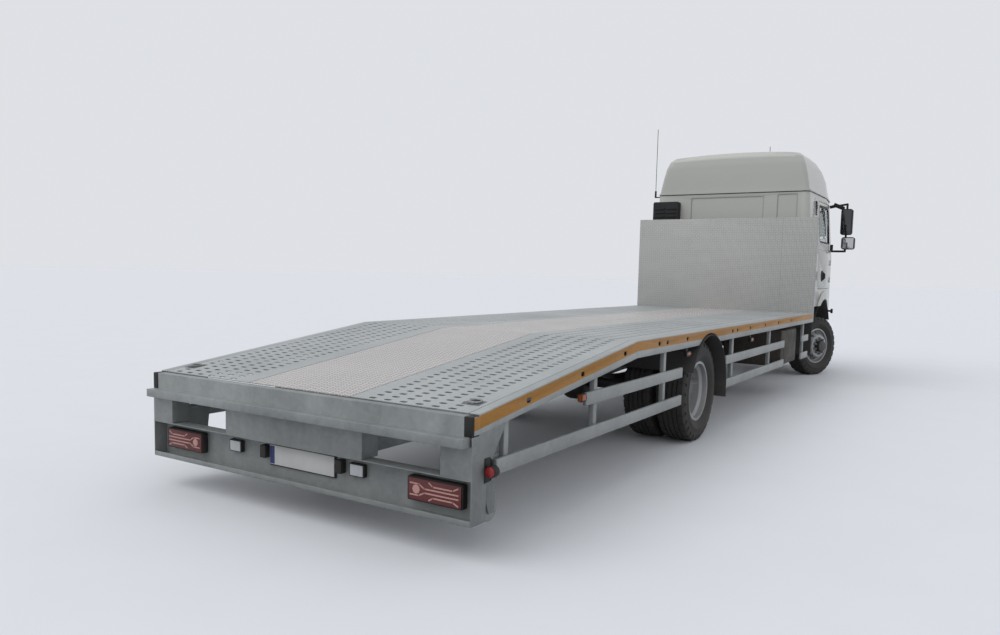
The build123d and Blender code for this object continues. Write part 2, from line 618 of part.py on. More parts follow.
# Tail frame: channels bolted to the rails that drop low behind the bend, with two beams between them
TAIL_PLATE = 8
TAIL_FLANGE = 60
TAIL_LOW_Z = 410
TAIL_AHEAD_OF_BEND = 700
TAIL_LEVEL = 1300
TAIL_BEAM_UP = 60
TAIL_BEAM_AHEAD = 400
tail_front_y = BEND_Y - TAIL_AHEAD_OF_BEND
tail_rear_y = TAIL_Y - WEB_BACK - POST_SKIN
tail_knee_y = tail_rear_y - TAIL_LEVEL


def tail_low(y):
    """Height of a tail channel's lower edge between the rail and its level part."""
    return RAIL_LOW_Z + (TAIL_LOW_Z - RAIL_LOW_Z) * (y - tail_front_y) / (tail_knee_y - tail_front_y)


def tail_member(side):
    """Tapered channel from the rail down to the lamp beam, with its flange inwards."""
    x0, x1 = side * RAIL_X, side * (RAIL_X + TAIL_PLATE)
    outline = [(tail_front_y, RAIL_LOW_Z), (tail_front_y, RAIL_TOP_Z - TAIL_FLANGE),
               (RAIL_REAR_Y, RAIL_TOP_Z), (RAIL_REAR_Y, under_plate(RAIL_REAR_Y) - BEAM_DEPTH),
               (tail_rear_y, under_plate(tail_rear_y) - BEAM_DEPTH), (tail_rear_y, TAIL_LOW_Z),
               (tail_knee_y, TAIL_LOW_Z)]
    foot = [(RAIL_REAR_Y, tail_low(RAIL_REAR_Y)), (tail_knee_y, TAIL_LOW_Z), (tail_rear_y, TAIL_LOW_Z),
            (tail_rear_y, TAIL_LOW_Z + TAIL_PLATE), (tail_knee_y, TAIL_LOW_Z + TAIL_PLATE),
            (RAIL_REAR_Y, tail_low(RAIL_REAR_Y) + TAIL_PLATE)]
    return slab(outline, x0, x1) + slab(foot, side * (RAIL_X - TAIL_FLANGE), x0)


tail_beam_z = TAIL_LOW_Z + TAIL_BEAM_UP
tail_cross = [block(-RAIL_X, RAIL_X, y, y + BEAM_WIDTH, tail_beam_z, tail_beam_z + BEAM_DEPTH)
              for y in (tail_knee_y, tail_rear_y - TAIL_BEAM_AHEAD)]
save("tail_frame", fuse(both(tail_member) + tail_cross))

# Rear frame: fascia with end caps, ramp ledge, corner posts, centre panel and gussets
FASCIA_HEIGHT = 100
CAP = 50
LEDGE_HEIGHT = 48
LEDGE_IN = 15
POST_WIDTH_X = 190
END_DEPTH = 130
CENTRE_PANEL_HALF = 545
GUSSET_DEPTH = 310
GUSSET_WAIST = 170
GUSSET_WAIST_Z = 480
GUSSET_STEP = 60
fascia_low = DECK_TAIL_Z - FASCIA_HEIGHT
ledge_low = fascia_low - LEDGE_HEIGHT
post_inner_x = SIDE_X - POST_WIDTH_X


def corner(side):
    """Corner post, its outer end plate and the gusset under the side channel."""
    post = block(side * post_inner_x, side * (SIDE_X - POST_SKIN), TAIL_Y - POST_SKIN, TAIL_Y, BEAM_TOP_Z,
                 ledge_low)
    inner = block(side * post_inner_x, side * (post_inner_x + POST_SKIN), TAIL_Y - END_DEPTH,
                  TAIL_Y - POST_SKIN, BEAM_TOP_Z, ledge_low)
    outline = [(TAIL_Y, BEAM_LOW_Z), (TAIL_Y, fascia_low), (deck_end_y, fascia_low),
               (deck_end_y, side_z(deck_end_y)),
               (TAIL_Y - GUSSET_DEPTH, side_z(TAIL_Y - GUSSET_DEPTH)),
               (TAIL_Y - GUSSET_WAIST, GUSSET_WAIST_Z), (TAIL_Y - END_DEPTH, GUSSET_WAIST_Z - GUSSET_STEP),
               (TAIL_Y - END_DEPTH, BEAM_LOW_Z)]
    end = slab(outline, side * (SIDE_X - POST_SKIN), side * SIDE_X)
    return fuse([post, inner, end])


fascia = block(-(SIDE_X - CAP), SIDE_X - CAP, deck_end_y, TAIL_Y, fascia_low, DECK_TAIL_Z)
fascia = fascia - block(-(SIDE_X - CAP), SIDE_X - CAP, deck_end_y - 1, TAIL_Y - POST_SKIN,
                        fascia_low + POST_SKIN, DECK_TAIL_Z - POST_SKIN)
ledge = block(-(SIDE_X - LEDGE_IN), SIDE_X - LEDGE_IN, TAIL_Y - TAIL_BAR, TAIL_Y + LEDGE_OUT, ledge_low,
              fascia_low)
panel = block(-CENTRE_PANEL_HALF, CENTRE_PANEL_HALF, TAIL_Y - POST_SKIN, TAIL_Y, BEAM_TOP_Z, ledge_low)
ribs = [block(side * CENTRE_PANEL_HALF, side * (CENTRE_PANEL_HALF - POST_SKIN), TAIL_Y - END_DEPTH,
              TAIL_Y - POST_SKIN, BEAM_TOP_Z, ledge_low) for _, side in SIDES]
save("rear_frame", fuse([fascia, ledge, panel] + ribs + both(corner)))
save("end_caps", [block(side * (SIDE_X - CAP), side * SIDE_X, deck_end_y, TAIL_Y, fascia_low, DECK_TAIL_Z)
                  for _, side in SIDES])

# Lamp beam: a channel open to the rear, with the lamps on its web
BEAM_LIP = 30
beam_x = SIDE_X - POST_SKIN
beam_rear = block(-beam_x, beam_x, TAIL_Y - WEB_BACK - POST_SKIN, TAIL_Y, BEAM_LOW_Z, BEAM_TOP_Z)
beam_rear = beam_rear - block(-beam_x, beam_x, TAIL_Y - WEB_BACK, TAIL_Y + 1, BEAM_LOW_Z + POST_SKIN,
                              BEAM_TOP_Z - POST_SKIN)
lip = block(-beam_x, beam_x, TAIL_Y - POST_SKIN, TAIL_Y, BEAM_LOW_Z, BEAM_LOW_Z + BEAM_LIP)
save("lamp_beam", beam_rear + lip)

# Lamps: tail lamps, clear lamps and plate lamps on the beam's web, markers on rubber arms, side lamps
TAIL_LAMP = (350, 128)
TAIL_LAMP_AT = (995, 314)
TAIL_LAMP_R = 12
SMALL_LAMP = (107, 72)
SMALL_LAMPS_AT = ((530, 340), (-455, 340))
SMALL_LAMP_R = 6
PLATE_LAMP = (46, 76)
PLATE_LAMPS_AT = ((274, 343), (-331, 343))
LAMP_FACE_BACK = 45
SMALL_LAMP_BACK = 58
MARKER_R = 30
MARKER_HALF = 30
MARKER_AT = (SIDE_X + 37, 134, 450)
MARKER_ARM = 20
SIDE_LAMP = (100, 42, 26)
SIDE_LAMP_IN = 8
SIDE_LAMP_DOWN = 76
SIDE_LAMP_TAB = (50, 6)
END_LAMP = (65, 50)
# places along the truck of the side lamps that hang under the side channel
SIDE_LAMP_YS = (TAIL_Y - 3110, TAIL_Y - 5040)


def lamp(x, z, size, radius, back=LAMP_FACE_BACK):
    """Lamp on the lamp beam's web, with its face so far back from the tail."""
    y = TAIL_Y - (WEB_BACK + back) / 2
    shape = Pos(x, y, z) * Box(size[0], WEB_BACK - back, size[1])
    return fillet(shape.edges().filter_by(Axis.Y), radius)


def marker(side):
    """Round marker lamp on a rubber arm from the end plate."""
    x, back, z = MARKER_AT
    y = TAIL_Y - back
    arm = block(side * SIDE_X, side * x, y, y + MARKER_ARM, z - MARKER_ARM / 2, z + MARKER_ARM / 2)
    return arm + rod((side * x, y - MARKER_HALF / 2, z), (side * x, y + MARKER_HALF, z), MARKER_R)


def side_lamp(side, y):
    """Flat lamp hung on a tab under the side channel."""
    long, high, deep = SIDE_LAMP
    x, top = SIDE_X - SIDE_LAMP_IN, side_z(y) - SIDE_LAMP_DOWN + high
    tab_half, tab_skin = SIDE_LAMP_TAB[0] / 2, SIDE_LAMP_TAB[1]
    body = block(side * (x - deep), side * x, y - long / 2, y + long / 2, top - high, top)
    body = fillet(body.edges().filter_by(Axis.X), high / 4)
    tab_x = x - deep
    return body + block(side * tab_x, side * (tab_x + tab_skin), y - tab_half, y + tab_half, top - high,
                        side_z(y))


def end_lamp(side):
    """Lamp on the rear end of the high guard rail."""
    y, z = TAIL_Y - REAR_RAIL_END, HIGH_RAIL_Z + GUARD_RAIL[1]
    return block(side * (SIDE_X - GUARD_RAIL[0]), side * SIDE_X, y, y + END_LAMP[0], z - END_LAMP[1], z)


lamp_x, lamp_z = TAIL_LAMP_AT
save("tail_lamps", [lamp(side * lamp_x, lamp_z, TAIL_LAMP, TAIL_LAMP_R) for _, side in SIDES])
save("clear_lamps", [lamp(x, z, SMALL_LAMP, SMALL_LAMP_R, SMALL_LAMP_BACK) for x, z in SMALL_LAMPS_AT]
     + [lamp(x, z, PLATE_LAMP, SMALL_LAMP_R) for x, z in PLATE_LAMPS_AT])
save("marker_lamps", both(marker))

# Skid rollers under the tail's corners
ROLLER_R = 70
ROLLER_WIDTH = 90
ROLLER_X = SIDE_X - 100
ROLLER_BACK = 250
ROLLER_Z = 220
ROLLER_PIN_R = 15
CHEEK = 8
CHEEK_GAP = 4
CHEEK_LOW = 25
CHEEK_FRONT = 60
CHEEK_LAP = 80
roller_y = TAIL_Y - ROLLER_BACK


def roller_bracket(side):
    """Two cheeks under the deck with the roller's pin."""
    inner = ROLLER_WIDTH / 2 + CHEEK_GAP
    web_y = TAIL_Y - WEB_BACK - POST_SKIN
    outline = [(roller_y - CHEEK_LOW, ROLLER_Z - CHEEK_LOW), (roller_y + CHEEK_LOW, ROLLER_Z - CHEEK_LOW),
               (TAIL_Y - END_DEPTH, BEAM_TOP_Z), (web_y, BEAM_TOP_Z), (web_y, BEAM_TOP_Z + CHEEK_LAP),
               (roller_y - CHEEK_FRONT, BEAM_TOP_Z + CHEEK_LAP)]
    cheeks = [slab(outline, side * ROLLER_X + edge * inner, side * ROLLER_X + edge * (inner + CHEEK))
              for edge in (-1, 1)]
    return fuse(cheeks + [axle_disc(side * ROLLER_X, roller_y, ROLLER_Z, ROLLER_PIN_R, 2 * (inner + CHEEK))])


save("roller_brackets", both(roller_bracket))
for name, side in SIDES:
    roller = axle_disc(side * ROLLER_X, roller_y, ROLLER_Z, ROLLER_R, ROLLER_WIDTH)
    bore = axle_disc(side * ROLLER_X, roller_y, ROLLER_Z, ROLLER_PIN_R + GAP, 2 * ROLLER_WIDTH)
    save(f"skid_roller_{name}", roller - bore)

# Boxes under the front of the deck: exhaust silencer on the right, fuel tank on the left
BOX_FRONT_BEHIND = 720
BOX_LENGTH = 800
BOX_OUTER_X = SIDE_X - 50
BOX_INNER_X = RAIL_X + 90
BOX_LOW_Z = 390
BOX_TOP_Z = 820
SILENCER_EDGE = 40
TANK_EDGE = 90
HOLDER = 60
box_y0 = HEAD_Y + BOX_FRONT_BEHIND
box_y1 = box_y0 + BOX_LENGTH


def rail_box(side, radius):
    """Box hung beside the rail on two holders."""
    body = block(side * BOX_INNER_X, side * BOX_OUTER_X, box_y0, box_y1, BOX_LOW_Z, BOX_TOP_Z)
    body = fillet(body.edges().filter_by(Axis.Y), radius)
    holders = [block(side * RAIL_X, side * (BOX_INNER_X + radius), y, y + HOLDER, RAIL_LOW_Z + HOLDER,
                     RAIL_TOP_Z - HOLDER) for y in (box_y0 + HOLDER, box_y1 - 2 * HOLDER)]
    return fuse([body] + holders)


save("exhaust_box", rail_box(-1, SILENCER_EDGE))
save("fuel_tank", rail_box(1, TANK_EDGE))

# Side guards: two rails at each side on stanchions under the side channel
GUARD_RAIL = (25, 80)
LOW_RAIL_Z = 405
HIGH_RAIL_Z = 625
STANCHION = (35, 45)
REAR_RAIL_END = 1230
rear_rail_y = guard_y + GUARD_R + 178
front_rail_ys = (box_y1 + 40, guard_y - GUARD_R - 13)
short_rail_ys = (HEAD_Y + 220, box_y0 - 110)
# height, front end, rear end
GUARD_RAILS = (
    (LOW_RAIL_Z, rear_rail_y, TAIL_Y - 225),
    (HIGH_RAIL_Z, rear_rail_y, TAIL_Y - REAR_RAIL_END),
    (LOW_RAIL_Z, *front_rail_ys),
    (HIGH_RAIL_Z, *front_rail_ys),
    (LOW_RAIL_Z, *short_rail_ys),
    (HIGH_RAIL_Z, *short_rail_ys),
)
STANCHION_YS = (TAIL_Y - 350, TAIL_Y - 1410, TAIL_Y - 2620, front_rail_ys[1] - 280, front_rail_ys[0] + 610,
                sum(short_rail_ys) / 2)


def stanchion(side, y):
    """Upright behind the rails, from the low rail to the side channel."""
    x = SIDE_X - GUARD_RAIL[0]
    y0, y1 = y - STANCHION[1] / 2, y + STANCHION[1] / 2
    return slab([(y0, LOW_RAIL_Z), (y0, side_z(y0)), (y1, side_z(y1)), (y1, LOW_RAIL_Z)],
                side * (x - STANCHION[0]), side * x)


save("guard_rails", [block(side * (SIDE_X - GUARD_RAIL[0]), side * SIDE_X, y0, y1, z, z + GUARD_RAIL[1])
                     for _, side in SIDES for z, y0, y1 in GUARD_RAILS])
save("guard_stanchions", [stanchion(side, y) for _, side in SIDES for y in STANCHION_YS])
save("side_lamps", [side_lamp(side, y) for _, side in SIDES for y in SIDE_LAMP_YS] + both(end_lamp))

# Cab forms: outlines from above as (half width, distance behind the truck's front, corner radius)
CAB_HALF = 1120
CAB_WALL = 60
CAB_LOW_Z = 900
CAB_SILL_Z = 1040
BELT_Z = 1750
GUTTER_Z = 2620
FLOOR = 40
TUMBLEHOME = 50
SCREEN_RAKE = 190
CAB_FRONT_IN = 20
CAB_PLAN = (
    (CAB_HALF, CAB_LENGTH, 70),
    (CAB_HALF, 1150, 1500),
    (CAB_HALF - 85, 330, 380),
    (CAB_HALF - 320, CAB_FRONT_IN, 240),
)
# the roof's outlines above the gutter: height, then the same four corners
ROOF_TIERS = (
    (2880, ((CAB_HALF - 102, CAB_LENGTH - 4, 80), (CAB_HALF - 102, 1080, 600),
            (CAB_HALF - 190, 560, 300), (CAB_HALF - 440, 400, 260))),
    (3010, ((CAB_HALF - 135, CAB_LENGTH - 10, 90), (CAB_HALF - 135, 1180, 500),
            (CAB_HALF - 230, 730, 260), (CAB_HALF - 470, 590, 240))),
    (3100, ((CAB_HALF - 175, CAB_LENGTH - 24, 100), (CAB_HALF - 175, 1400, 400),
            (CAB_HALF - 280, 960, 220), (CAB_HALF - 520, 830, 220))),
    (3142, ((CAB_HALF - 222, CAB_LENGTH - 60, 110), (CAB_HALF - 222, 1520, 360),
            (CAB_HALF - 330, 1120, 200), (CAB_HALF - 560, 1000, 200))),
    (3155, ((CAB_HALF - 300, CAB_LENGTH - 130, 110), (CAB_HALF - 300, 1640, 300),
            (CAB_HALF - 410, 1270, 180), (CAB_HALF - 620, 1160, 180))),
)
ROOF_WALL = 40
GUTTER_LIP = (12, 18)


def plan(rows, z, inset=0, lean=0, rake=0):
    """Outline at a height, its sides leant in, its front raked back and its edge moved in by inset."""
    corners = [(x - lean, FRONT_Y + e + rake * (1 - e / CAB_LENGTH)) for x, e, _ in rows]
    ring = corners + [(-x, y) for x, y in reversed(corners)]
    radii = [r for _, _, r in rows]
    face = Polygon(*ring, align=None)
    for (x, y), r in zip(ring, radii + radii[::-1]):
        face = fillet(face.vertices().sort_by_distance(Vector(x, y, 0))[0], r)
    return Pos(0, 0, z) * (offset(face, -inset) if inset else face)


def gutter_plan(inset=0):
    """The cab's outline at the gutter."""
    return plan(CAB_PLAN, GUTTER_Z, inset, TUMBLEHOME, SCREEN_RAKE)


def cab_form(inset):
    """Solid of the cab's body moved in by inset, upright to the belt and leaning in above it."""
    lower = extrude(plan(CAB_PLAN, CAB_LOW_Z, inset), BELT_Z - CAB_LOW_Z, dir=(0, 0, 1))
    return lower + loft([plan(CAB_PLAN, BELT_Z, inset), gutter_plan(inset)])


def frame_cut(y0, y1, z0, z1, side, radius=60, grow=0):
    """Rounded window or door outline in side view, cut from the middle outwards."""
    plane = Plane(origin=(0, (y0 + y1) / 2, (z0 + z1) / 2), x_dir=(0, 1, 0), z_dir=(side, 0, 0))
    face = RectangleRounded(y1 - y0 + 2 * grow, z1 - z0 + 2 * grow, radius + grow)
    return extrude(plane * face, 1.2 * CAB_HALF)


# Doors hinge at their front edges; their windows are framed and their handles stand in cups
DOOR_FRONT_IN = 700
DOOR_REAR_IN = 1880
DOOR_LOW_Z = 1290
DOOR_TOP_Z = 2530
DOOR_GAP = 6
WINDOW_FRONT_IN = 800
WINDOW_REAR_IN = 1800
WINDOW_LOW_Z = 1950
WINDOW_TOP_Z = 2488
GLASS_BACK = 14
GLASS = 6
HANDLE_IN = 1550
HANDLE_Z = 1473
HANDLE_CUP = (130, 166, 50)
HANDLE_CUP_DEEP = 30
HANDLE_BAR = (34, 12)
door_y0, door_y1 = FRONT_Y + DOOR_FRONT_IN, FRONT_Y + DOOR_REAR_IN
window_y0, window_y1 = FRONT_Y + WINDOW_FRONT_IN, FRONT_Y + WINDOW_REAR_IN


def handle_cup(side):
    """Cutter for the hollow behind a door's handle."""
    plane = Plane(origin=(side * (CAB_HALF - HANDLE_CUP_DEEP), FRONT_Y + HANDLE_IN, HANDLE_Z),
                  x_dir=(0, 1, 0), z_dir=(side, 0, 0))
    return extrude(plane * RectangleRounded(*HANDLE_CUP), 2 * HANDLE_CUP_DEEP)


def handle_bar(side):
    """Upright grip across the cup."""
    y, half = FRONT_Y + HANDLE_IN, HANDLE_CUP[1] / 2
    x = CAB_HALF - HANDLE_BAR[1]
    return block(side * (x - HANDLE_BAR[1]), side * x, y - HANDLE_BAR[0] / 2, y + HANDLE_BAR[0] / 2,
                 HANDLE_Z - half - GAP, HANDLE_Z + half + GAP)


# Windscreen opening in the front, over the grille
SCREEN_HALF = CAB_HALF - 190
SCREEN_DEEP = 420
SCREEN_LOW_Z = 1810
SCREEN_TOP_Z = 2540
GRILLE_HALF = CAB_HALF - 480
GRILLE_LOW_Z = 960
GRILLE_TOP_Z = 1560
GRILLE_DEEP = 32
GRILLE_BACK = 6
GRILLE_SLATS = 6
GRILLE_RIM = 26

# Hinges of the doors: height of each one's middle
HINGE_ZS = (1420, 1680)
HINGE_R = 9
HINGE_PIN_R = 5
HINGE_HALF = 20
HINGE_LEAF = 45
HINGE_LEAF_SKIN = 4
HINGE_LAP = 10
HINGE_CLEAR = 2
HINGE_X = CAB_HALF - 42
hinge_y = FRONT_Y + DOOR_FRONT_IN - DOOR_GAP / 2


def hinge(side, z, way):
    """Leaf and barrels of a hinge: way 1 the door's middle barrel, way -1 the cab's pair with the pin."""
    bands = ((-HINGE_HALF, HINGE_HALF),)
    if way < 0:
        bands = ((HINGE_HALF + GAP, 2 * HINGE_HALF), (-2 * HINGE_HALF, -HINGE_HALF - GAP))
    pieces = []
    for low, high in bands:
        pieces.append(Pos(side * HINGE_X, hinge_y, z + low) * Cylinder(HINGE_R, high - low, align=UPRIGHT))
        y0, y1 = hinge_y + way * (DOOR_GAP / 2 + 1), hinge_y + way * HINGE_LEAF
        pieces.append(block(side * (HINGE_X - HINGE_R - HINGE_LAP), side * (HINGE_X + HINGE_LEAF_SKIN), y0, y1,
                            z + low, z + high))
        pieces.append(block(side * (HINGE_X - HINGE_LEAF_SKIN), side * (HINGE_X + HINGE_LEAF_SKIN), hinge_y,
                            hinge_y + way * HINGE_R, z + low, z + high))
    pin = Pos(side * HINGE_X, hinge_y, z)
    if way > 0:
        return fuse(pieces) - pin * Cylinder(HINGE_PIN_R + GAP, 4 * HINGE_HALF)
    return fuse(pieces + [pin * Cylinder(HINGE_PIN_R, 4 * HINGE_HALF)])


# Cab body: walls round the room and the open space under its floor
outer = cab_form(0)
inner = cab_form(CAB_WALL)
glass_form = cab_form(GLASS_BACK) - cab_form(GLASS_BACK + GLASS)
far = 2 * CAB_LENGTH
room = inner & block(-CAB_HALF, CAB_HALF, FRONT_Y, CAB_REAR_Y, CAB_FLOOR_Z + FLOOR, GUTTER_Z)
below = inner & block(-CAB_HALF, CAB_HALF, FRONT_Y, CAB_REAR_Y, CAB_LOW_Z, CAB_FLOOR_Z)
hollow_cab = outer - room - below

# Pressed panels of the rear wall: x from, x to, top
WALL_PRESS = 8
WALL_PRESS_R = 40
WALL_PRESS_LOW_Z = 1500
WALL_PANELS = ((-470, 560, 2560), (-CAB_HALF + 200, -CAB_HALF + 460, 2580))


def wall_panel(x0, x1, top):
    """Cutter for one shallow panel in the rear wall."""
    plane = Plane(origin=((x0 + x1) / 2, CAB_REAR_Y - WALL_PRESS, (top + WALL_PRESS_LOW_Z) / 2),
                  x_dir=(-1, 0, 0), z_dir=(0, 1, 0))
    return extrude(plane * RectangleRounded(x1 - x0, top - WALL_PRESS_LOW_Z, WALL_PRESS_R), 2 * WALL_PRESS)


# Wheel arches
ARCH_R = 660
ARCH_Z = 470
COVER_R = 790
COVER_PROUD = 14
COVER_IN = 150
arch_in = CAB_HALF - 2 * CAB_WALL - COVER_IN
reach = 1.1 * CAB_HALF
arch_cuts = [arch_disc(ARCH_R, side * arch_in, side * reach, FRONT_AXLE_Y, ARCH_Z) for _, side in SIDES]
sill_cut = block(-reach, reach, FRONT_AXLE_Y, CAB_REAR_Y + 1, CAB_LOW_Z - 1, CAB_SILL_Z)
screen_cut = block(-SCREEN_HALF, SCREEN_HALF, FRONT_Y - 1, FRONT_Y + SCREEN_DEEP, SCREEN_LOW_Z, SCREEN_TOP_Z)
grille_cut = block(-GRILLE_HALF, GRILLE_HALF, FRONT_Y - 1, FRONT_Y + CAB_FRONT_IN + GRILLE_DEEP, GRILLE_LOW_Z,
                   GRILLE_TOP_Z)

shell = hollow_cab - sill_cut - screen_cut - grille_cut
for cut in arch_cuts + [wall_panel(*row) for row in WALL_PANELS]:
    shell = shell - cut
for name, side in SIDES:
    door_cut = frame_cut(door_y0, door_y1, DOOR_LOW_Z, DOOR_TOP_Z, side, grow=DOOR_GAP)
    window_cut = frame_cut(window_y0, window_y1, WINDOW_LOW_Z, WINDOW_TOP_Z, side)
    leaf = frame_cut(door_y0, door_y1, DOOR_LOW_Z, DOOR_TOP_Z, side)
    door = (hollow_cab & leaf) - window_cut - handle_cup(side) + handle_bar(side)
    shell = shell - door_cut
    for z in HINGE_ZS:
        barrel_room = Pos(side * HINGE_X, hinge_y, z) * Cylinder(HINGE_R + HINGE_CLEAR, 4 * (HINGE_HALF + 1))
        door = door - barrel_room
        shell = shell - barrel_room
        door = door + hinge(side, z, 1)
        shell = shell + hinge(side, z, -1)
    save(f"door_{name}", door)
    save(f"door_glass_{name}", glass_form & window_cut)

# Pivot lugs under the floor's front edge, either side of the rails' noses
LUG = 24
LUG_CLEAR = 6
lug_x = RAIL_INNER_X - LUG_CLEAR
for _, side in SIDES:
    shell = shell + block(side * (lug_x - LUG), side * lug_x, PIVOT_Y - NOSE_HALF, PIVOT_Y + 2 * NOSE_HALF,
                          PIVOT_Z - NOSE_HALF, CAB_FLOOR_Z)
save("cab_shell", shell)
save("windscreen", glass_form & screen_cut)

# Grille: a frame and slats in the recess of the front panel
grille_y = FRONT_Y + CAB_FRONT_IN
grille = block(-GRILLE_HALF, GRILLE_HALF, grille_y, grille_y + GRILLE_DEEP, GRILLE_LOW_Z, GRILLE_TOP_Z)
slat_pitch = (GRILLE_TOP_Z - GRILLE_LOW_Z - GRILLE_RIM) / GRILLE_SLATS
for n in range(GRILLE_SLATS):
    z0 = GRILLE_LOW_Z + GRILLE_RIM + slat_pitch * n
    grille = grille - block(-GRILLE_HALF + GRILLE_RIM, GRILLE_HALF - GRILLE_RIM, grille_y - 1,
                            grille_y + GRILLE_DEEP - GRILLE_BACK, z0, z0 + slat_pitch - GRILLE_RIM)
save("grille", grille)

# High roof, hollow, seated on the gutter and drawn in by tiers to its crown
roof_outer = loft([gutter_plan()] + [plan(rows, z) for z, rows in ROOF_TIERS], ruled=True)
roof_inner = loft([gutter_plan(CAB_WALL)] + [plan(rows, z - ROOF_WALL, ROOF_WALL) for z, rows in ROOF_TIERS],
                  ruled=True)
lip_out, lip_high = GUTTER_LIP
lip = extrude(gutter_plan(-lip_out), lip_high, dir=(0, 0, 1))
lip = lip - extrude(gutter_plan(CAB_WALL / 2), lip_high, dir=(0, 0, 1))
save("cab_roof", roof_outer - roof_inner + lip)

# Arch covers round the cab's wheel openings, and the liners inside them
LINER_SKIN = 6
LINER_LOW_Z = 800
LINER_IN = 420
cover_height = ARCH_Z + COVER_R - CAB_SILL_Z
cover_form = (extrude(plan(CAB_PLAN, CAB_SILL_Z, -COVER_PROUD), cover_height, dir=(0, 0, 1))
              - extrude(plan(CAB_PLAN, CAB_SILL_Z), cover_height, dir=(0, 0, 1)))
covers, liners = [], []
for _, side in SIDES:
    ring = (arch_disc(COVER_R, side * COVER_IN, side * reach, FRONT_AXLE_Y, ARCH_Z)
            - arch_disc(ARCH_R, side * COVER_IN, side * reach, FRONT_AXLE_Y, ARCH_Z))
    covers.append(cover_form & ring)
    x0, x1 = side * (CAB_HALF - LINER_IN), side * (CAB_HALF - COVER_PROUD)
    liner = (arch_disc(ARCH_R - GAP, x0, x1, FRONT_AXLE_Y, ARCH_Z)
             - arch_disc(ARCH_R - GAP - LINER_SKIN, 0, 2 * x1, FRONT_AXLE_Y, ARCH_Z))
    liners.append(liner & block(x0, x1, FRONT_AXLE_Y - ARCH_R, FRONT_AXLE_Y + ARCH_R, LINER_LOW_Z,
                                ARCH_Z + ARCH_R))
save("arch_covers", covers)
save("arch_liners", liners)

# Inside: seats, bunk, dashboard and steering wheel
SEAT_X = CAB_HALF / 2
SEAT_WIDTH = 500
SEAT_FRONT_IN = 1130
SEAT_DEPTH = 520
SEAT_Z = 1620
SEAT_EDGE = 30
SEAT_BASE_IN = 60
BACK_TOP_Z = 2330
BACK_THICK = 120
CUSHION = 130
BUNK_DEPTH = 480
BUNK_TOP_Z = 1640
DASH_DEEP = 520
DASH_LOW_Z = 1480
DASH_TOP_Z = 1830
WHEEL_R = 215
WHEEL_RIM_R = 15
WHEEL_HUB = (60, 30)
WHEEL_SPOKE = (34, 16)
COLUMN = (32, 450, 240)
WHEEL_AT = (SEAT_X, 830, 1880)
WHEEL_TILT = 45
floor_top = CAB_FLOOR_Z + FLOOR
seats = []
for _, side in SIDES:
    x0, x1 = side * SEAT_X - SEAT_WIDTH / 2, side * SEAT_X + SEAT_WIDTH / 2
    y0 = FRONT_Y + SEAT_FRONT_IN
    y1 = y0 + SEAT_DEPTH
    cushion = fillet(block(x0, x1, y0, y1, SEAT_Z - CUSHION, SEAT_Z).edges(), SEAT_EDGE)
    back = fillet(block(x0, x1, y1 - BACK_THICK, y1, SEAT_Z - CUSHION, BACK_TOP_Z).edges(), SEAT_EDGE)
    base = block(x0 + SEAT_BASE_IN, x1 - SEAT_BASE_IN, y0 + SEAT_BASE_IN, y1 - SEAT_BASE_IN, floor_top,
                 SEAT_Z - CUSHION / 2)
    seats.append(fuse([cushion, back, base]))
save("seats", seats)
room_form = cab_form(CAB_WALL + GAP)
bunk_y = CAB_REAR_Y - CAB_WALL - GAP - BUNK_DEPTH
save("bunk", room_form & block(-CAB_HALF, CAB_HALF, bunk_y, CAB_REAR_Y, floor_top, BUNK_TOP_Z))
dash = room_form & block(-CAB_HALF, CAB_HALF, FRONT_Y, FRONT_Y + DASH_DEEP, DASH_LOW_Z, DASH_TOP_Z)
wheel_plane = Pos(WHEEL_AT[0], FRONT_Y + WHEEL_AT[1], WHEEL_AT[2]) * Rot(-WHEEL_TILT, 0, 0)
column_r, column_long, column_down = COLUMN
steering_wheel = Torus(WHEEL_R, WHEEL_RIM_R) + Cylinder(*WHEEL_HUB) + Box(2 * WHEEL_R, *WHEEL_SPOKE)
steering_wheel = steering_wheel + Pos(0, 0, -column_down) * Cylinder(column_r, column_long)
save("dashboard", dash + wheel_plane * steering_wheel)

# Mirrors at the cab's front corners: an arm from roof edge to belt with two heads
MIRROR_IN = 450
MIRROR_POLE_X = CAB_HALF + 120
# middle x, low z, high z, width
MIRROR_HEADS = ((CAB_HALF + 124, 2125, 2525, 166), (CAB_HALF + 160, 1900, 2090, 190))
MIRROR_DEEP = 90
MIRROR_EDGE = 35
ARM_R = 16
ARM_ROOT_R = 24
ARM_TOP_Z = 2600
ARM_LOW_Z = 1870
ARM_ROOT_TOP = (CAB_HALF - 135, ARM_TOP_Z - 40)
ARM_ROOT_LOW = (CAB_HALF - 100, ARM_LOW_Z)
ARM_THICK_TO = CAB_HALF - 20


def mirror(side):
    """Two heads on a bent arm whose ends are set into the cab's corner."""
    y = FRONT_Y + MIRROR_IN
    points = [(ARM_ROOT_TOP[0], ARM_ROOT_TOP[1]), (MIRROR_POLE_X, ARM_TOP_Z), (MIRROR_POLE_X, ARM_LOW_Z),
              (ARM_ROOT_LOW[0], ARM_ROOT_LOW[1])]
    spots = [(side * x, y, z) for x, z in points]
    pieces = [rod(a, b, ARM_R) for a, b in zip(spots, spots[1:])]
    pieces += [Pos(*p) * Sphere(ARM_R) for p in spots[1:3]]
    pieces.append(rod(spots[0], (side * ARM_THICK_TO, y, ARM_TOP_Z - ARM_R), ARM_ROOT_R))
    for x, z0, z1, width in MIRROR_HEADS:
        head = Pos(side * x, y, (z0 + z1) / 2) * Box(width, MIRROR_DEEP, z1 - z0)
        pieces.append(fillet(head.edges().filter_by(Axis.Y), MIRROR_EDGE))
    return fuse(pieces) - outer


save("mirrors", both(mirror))

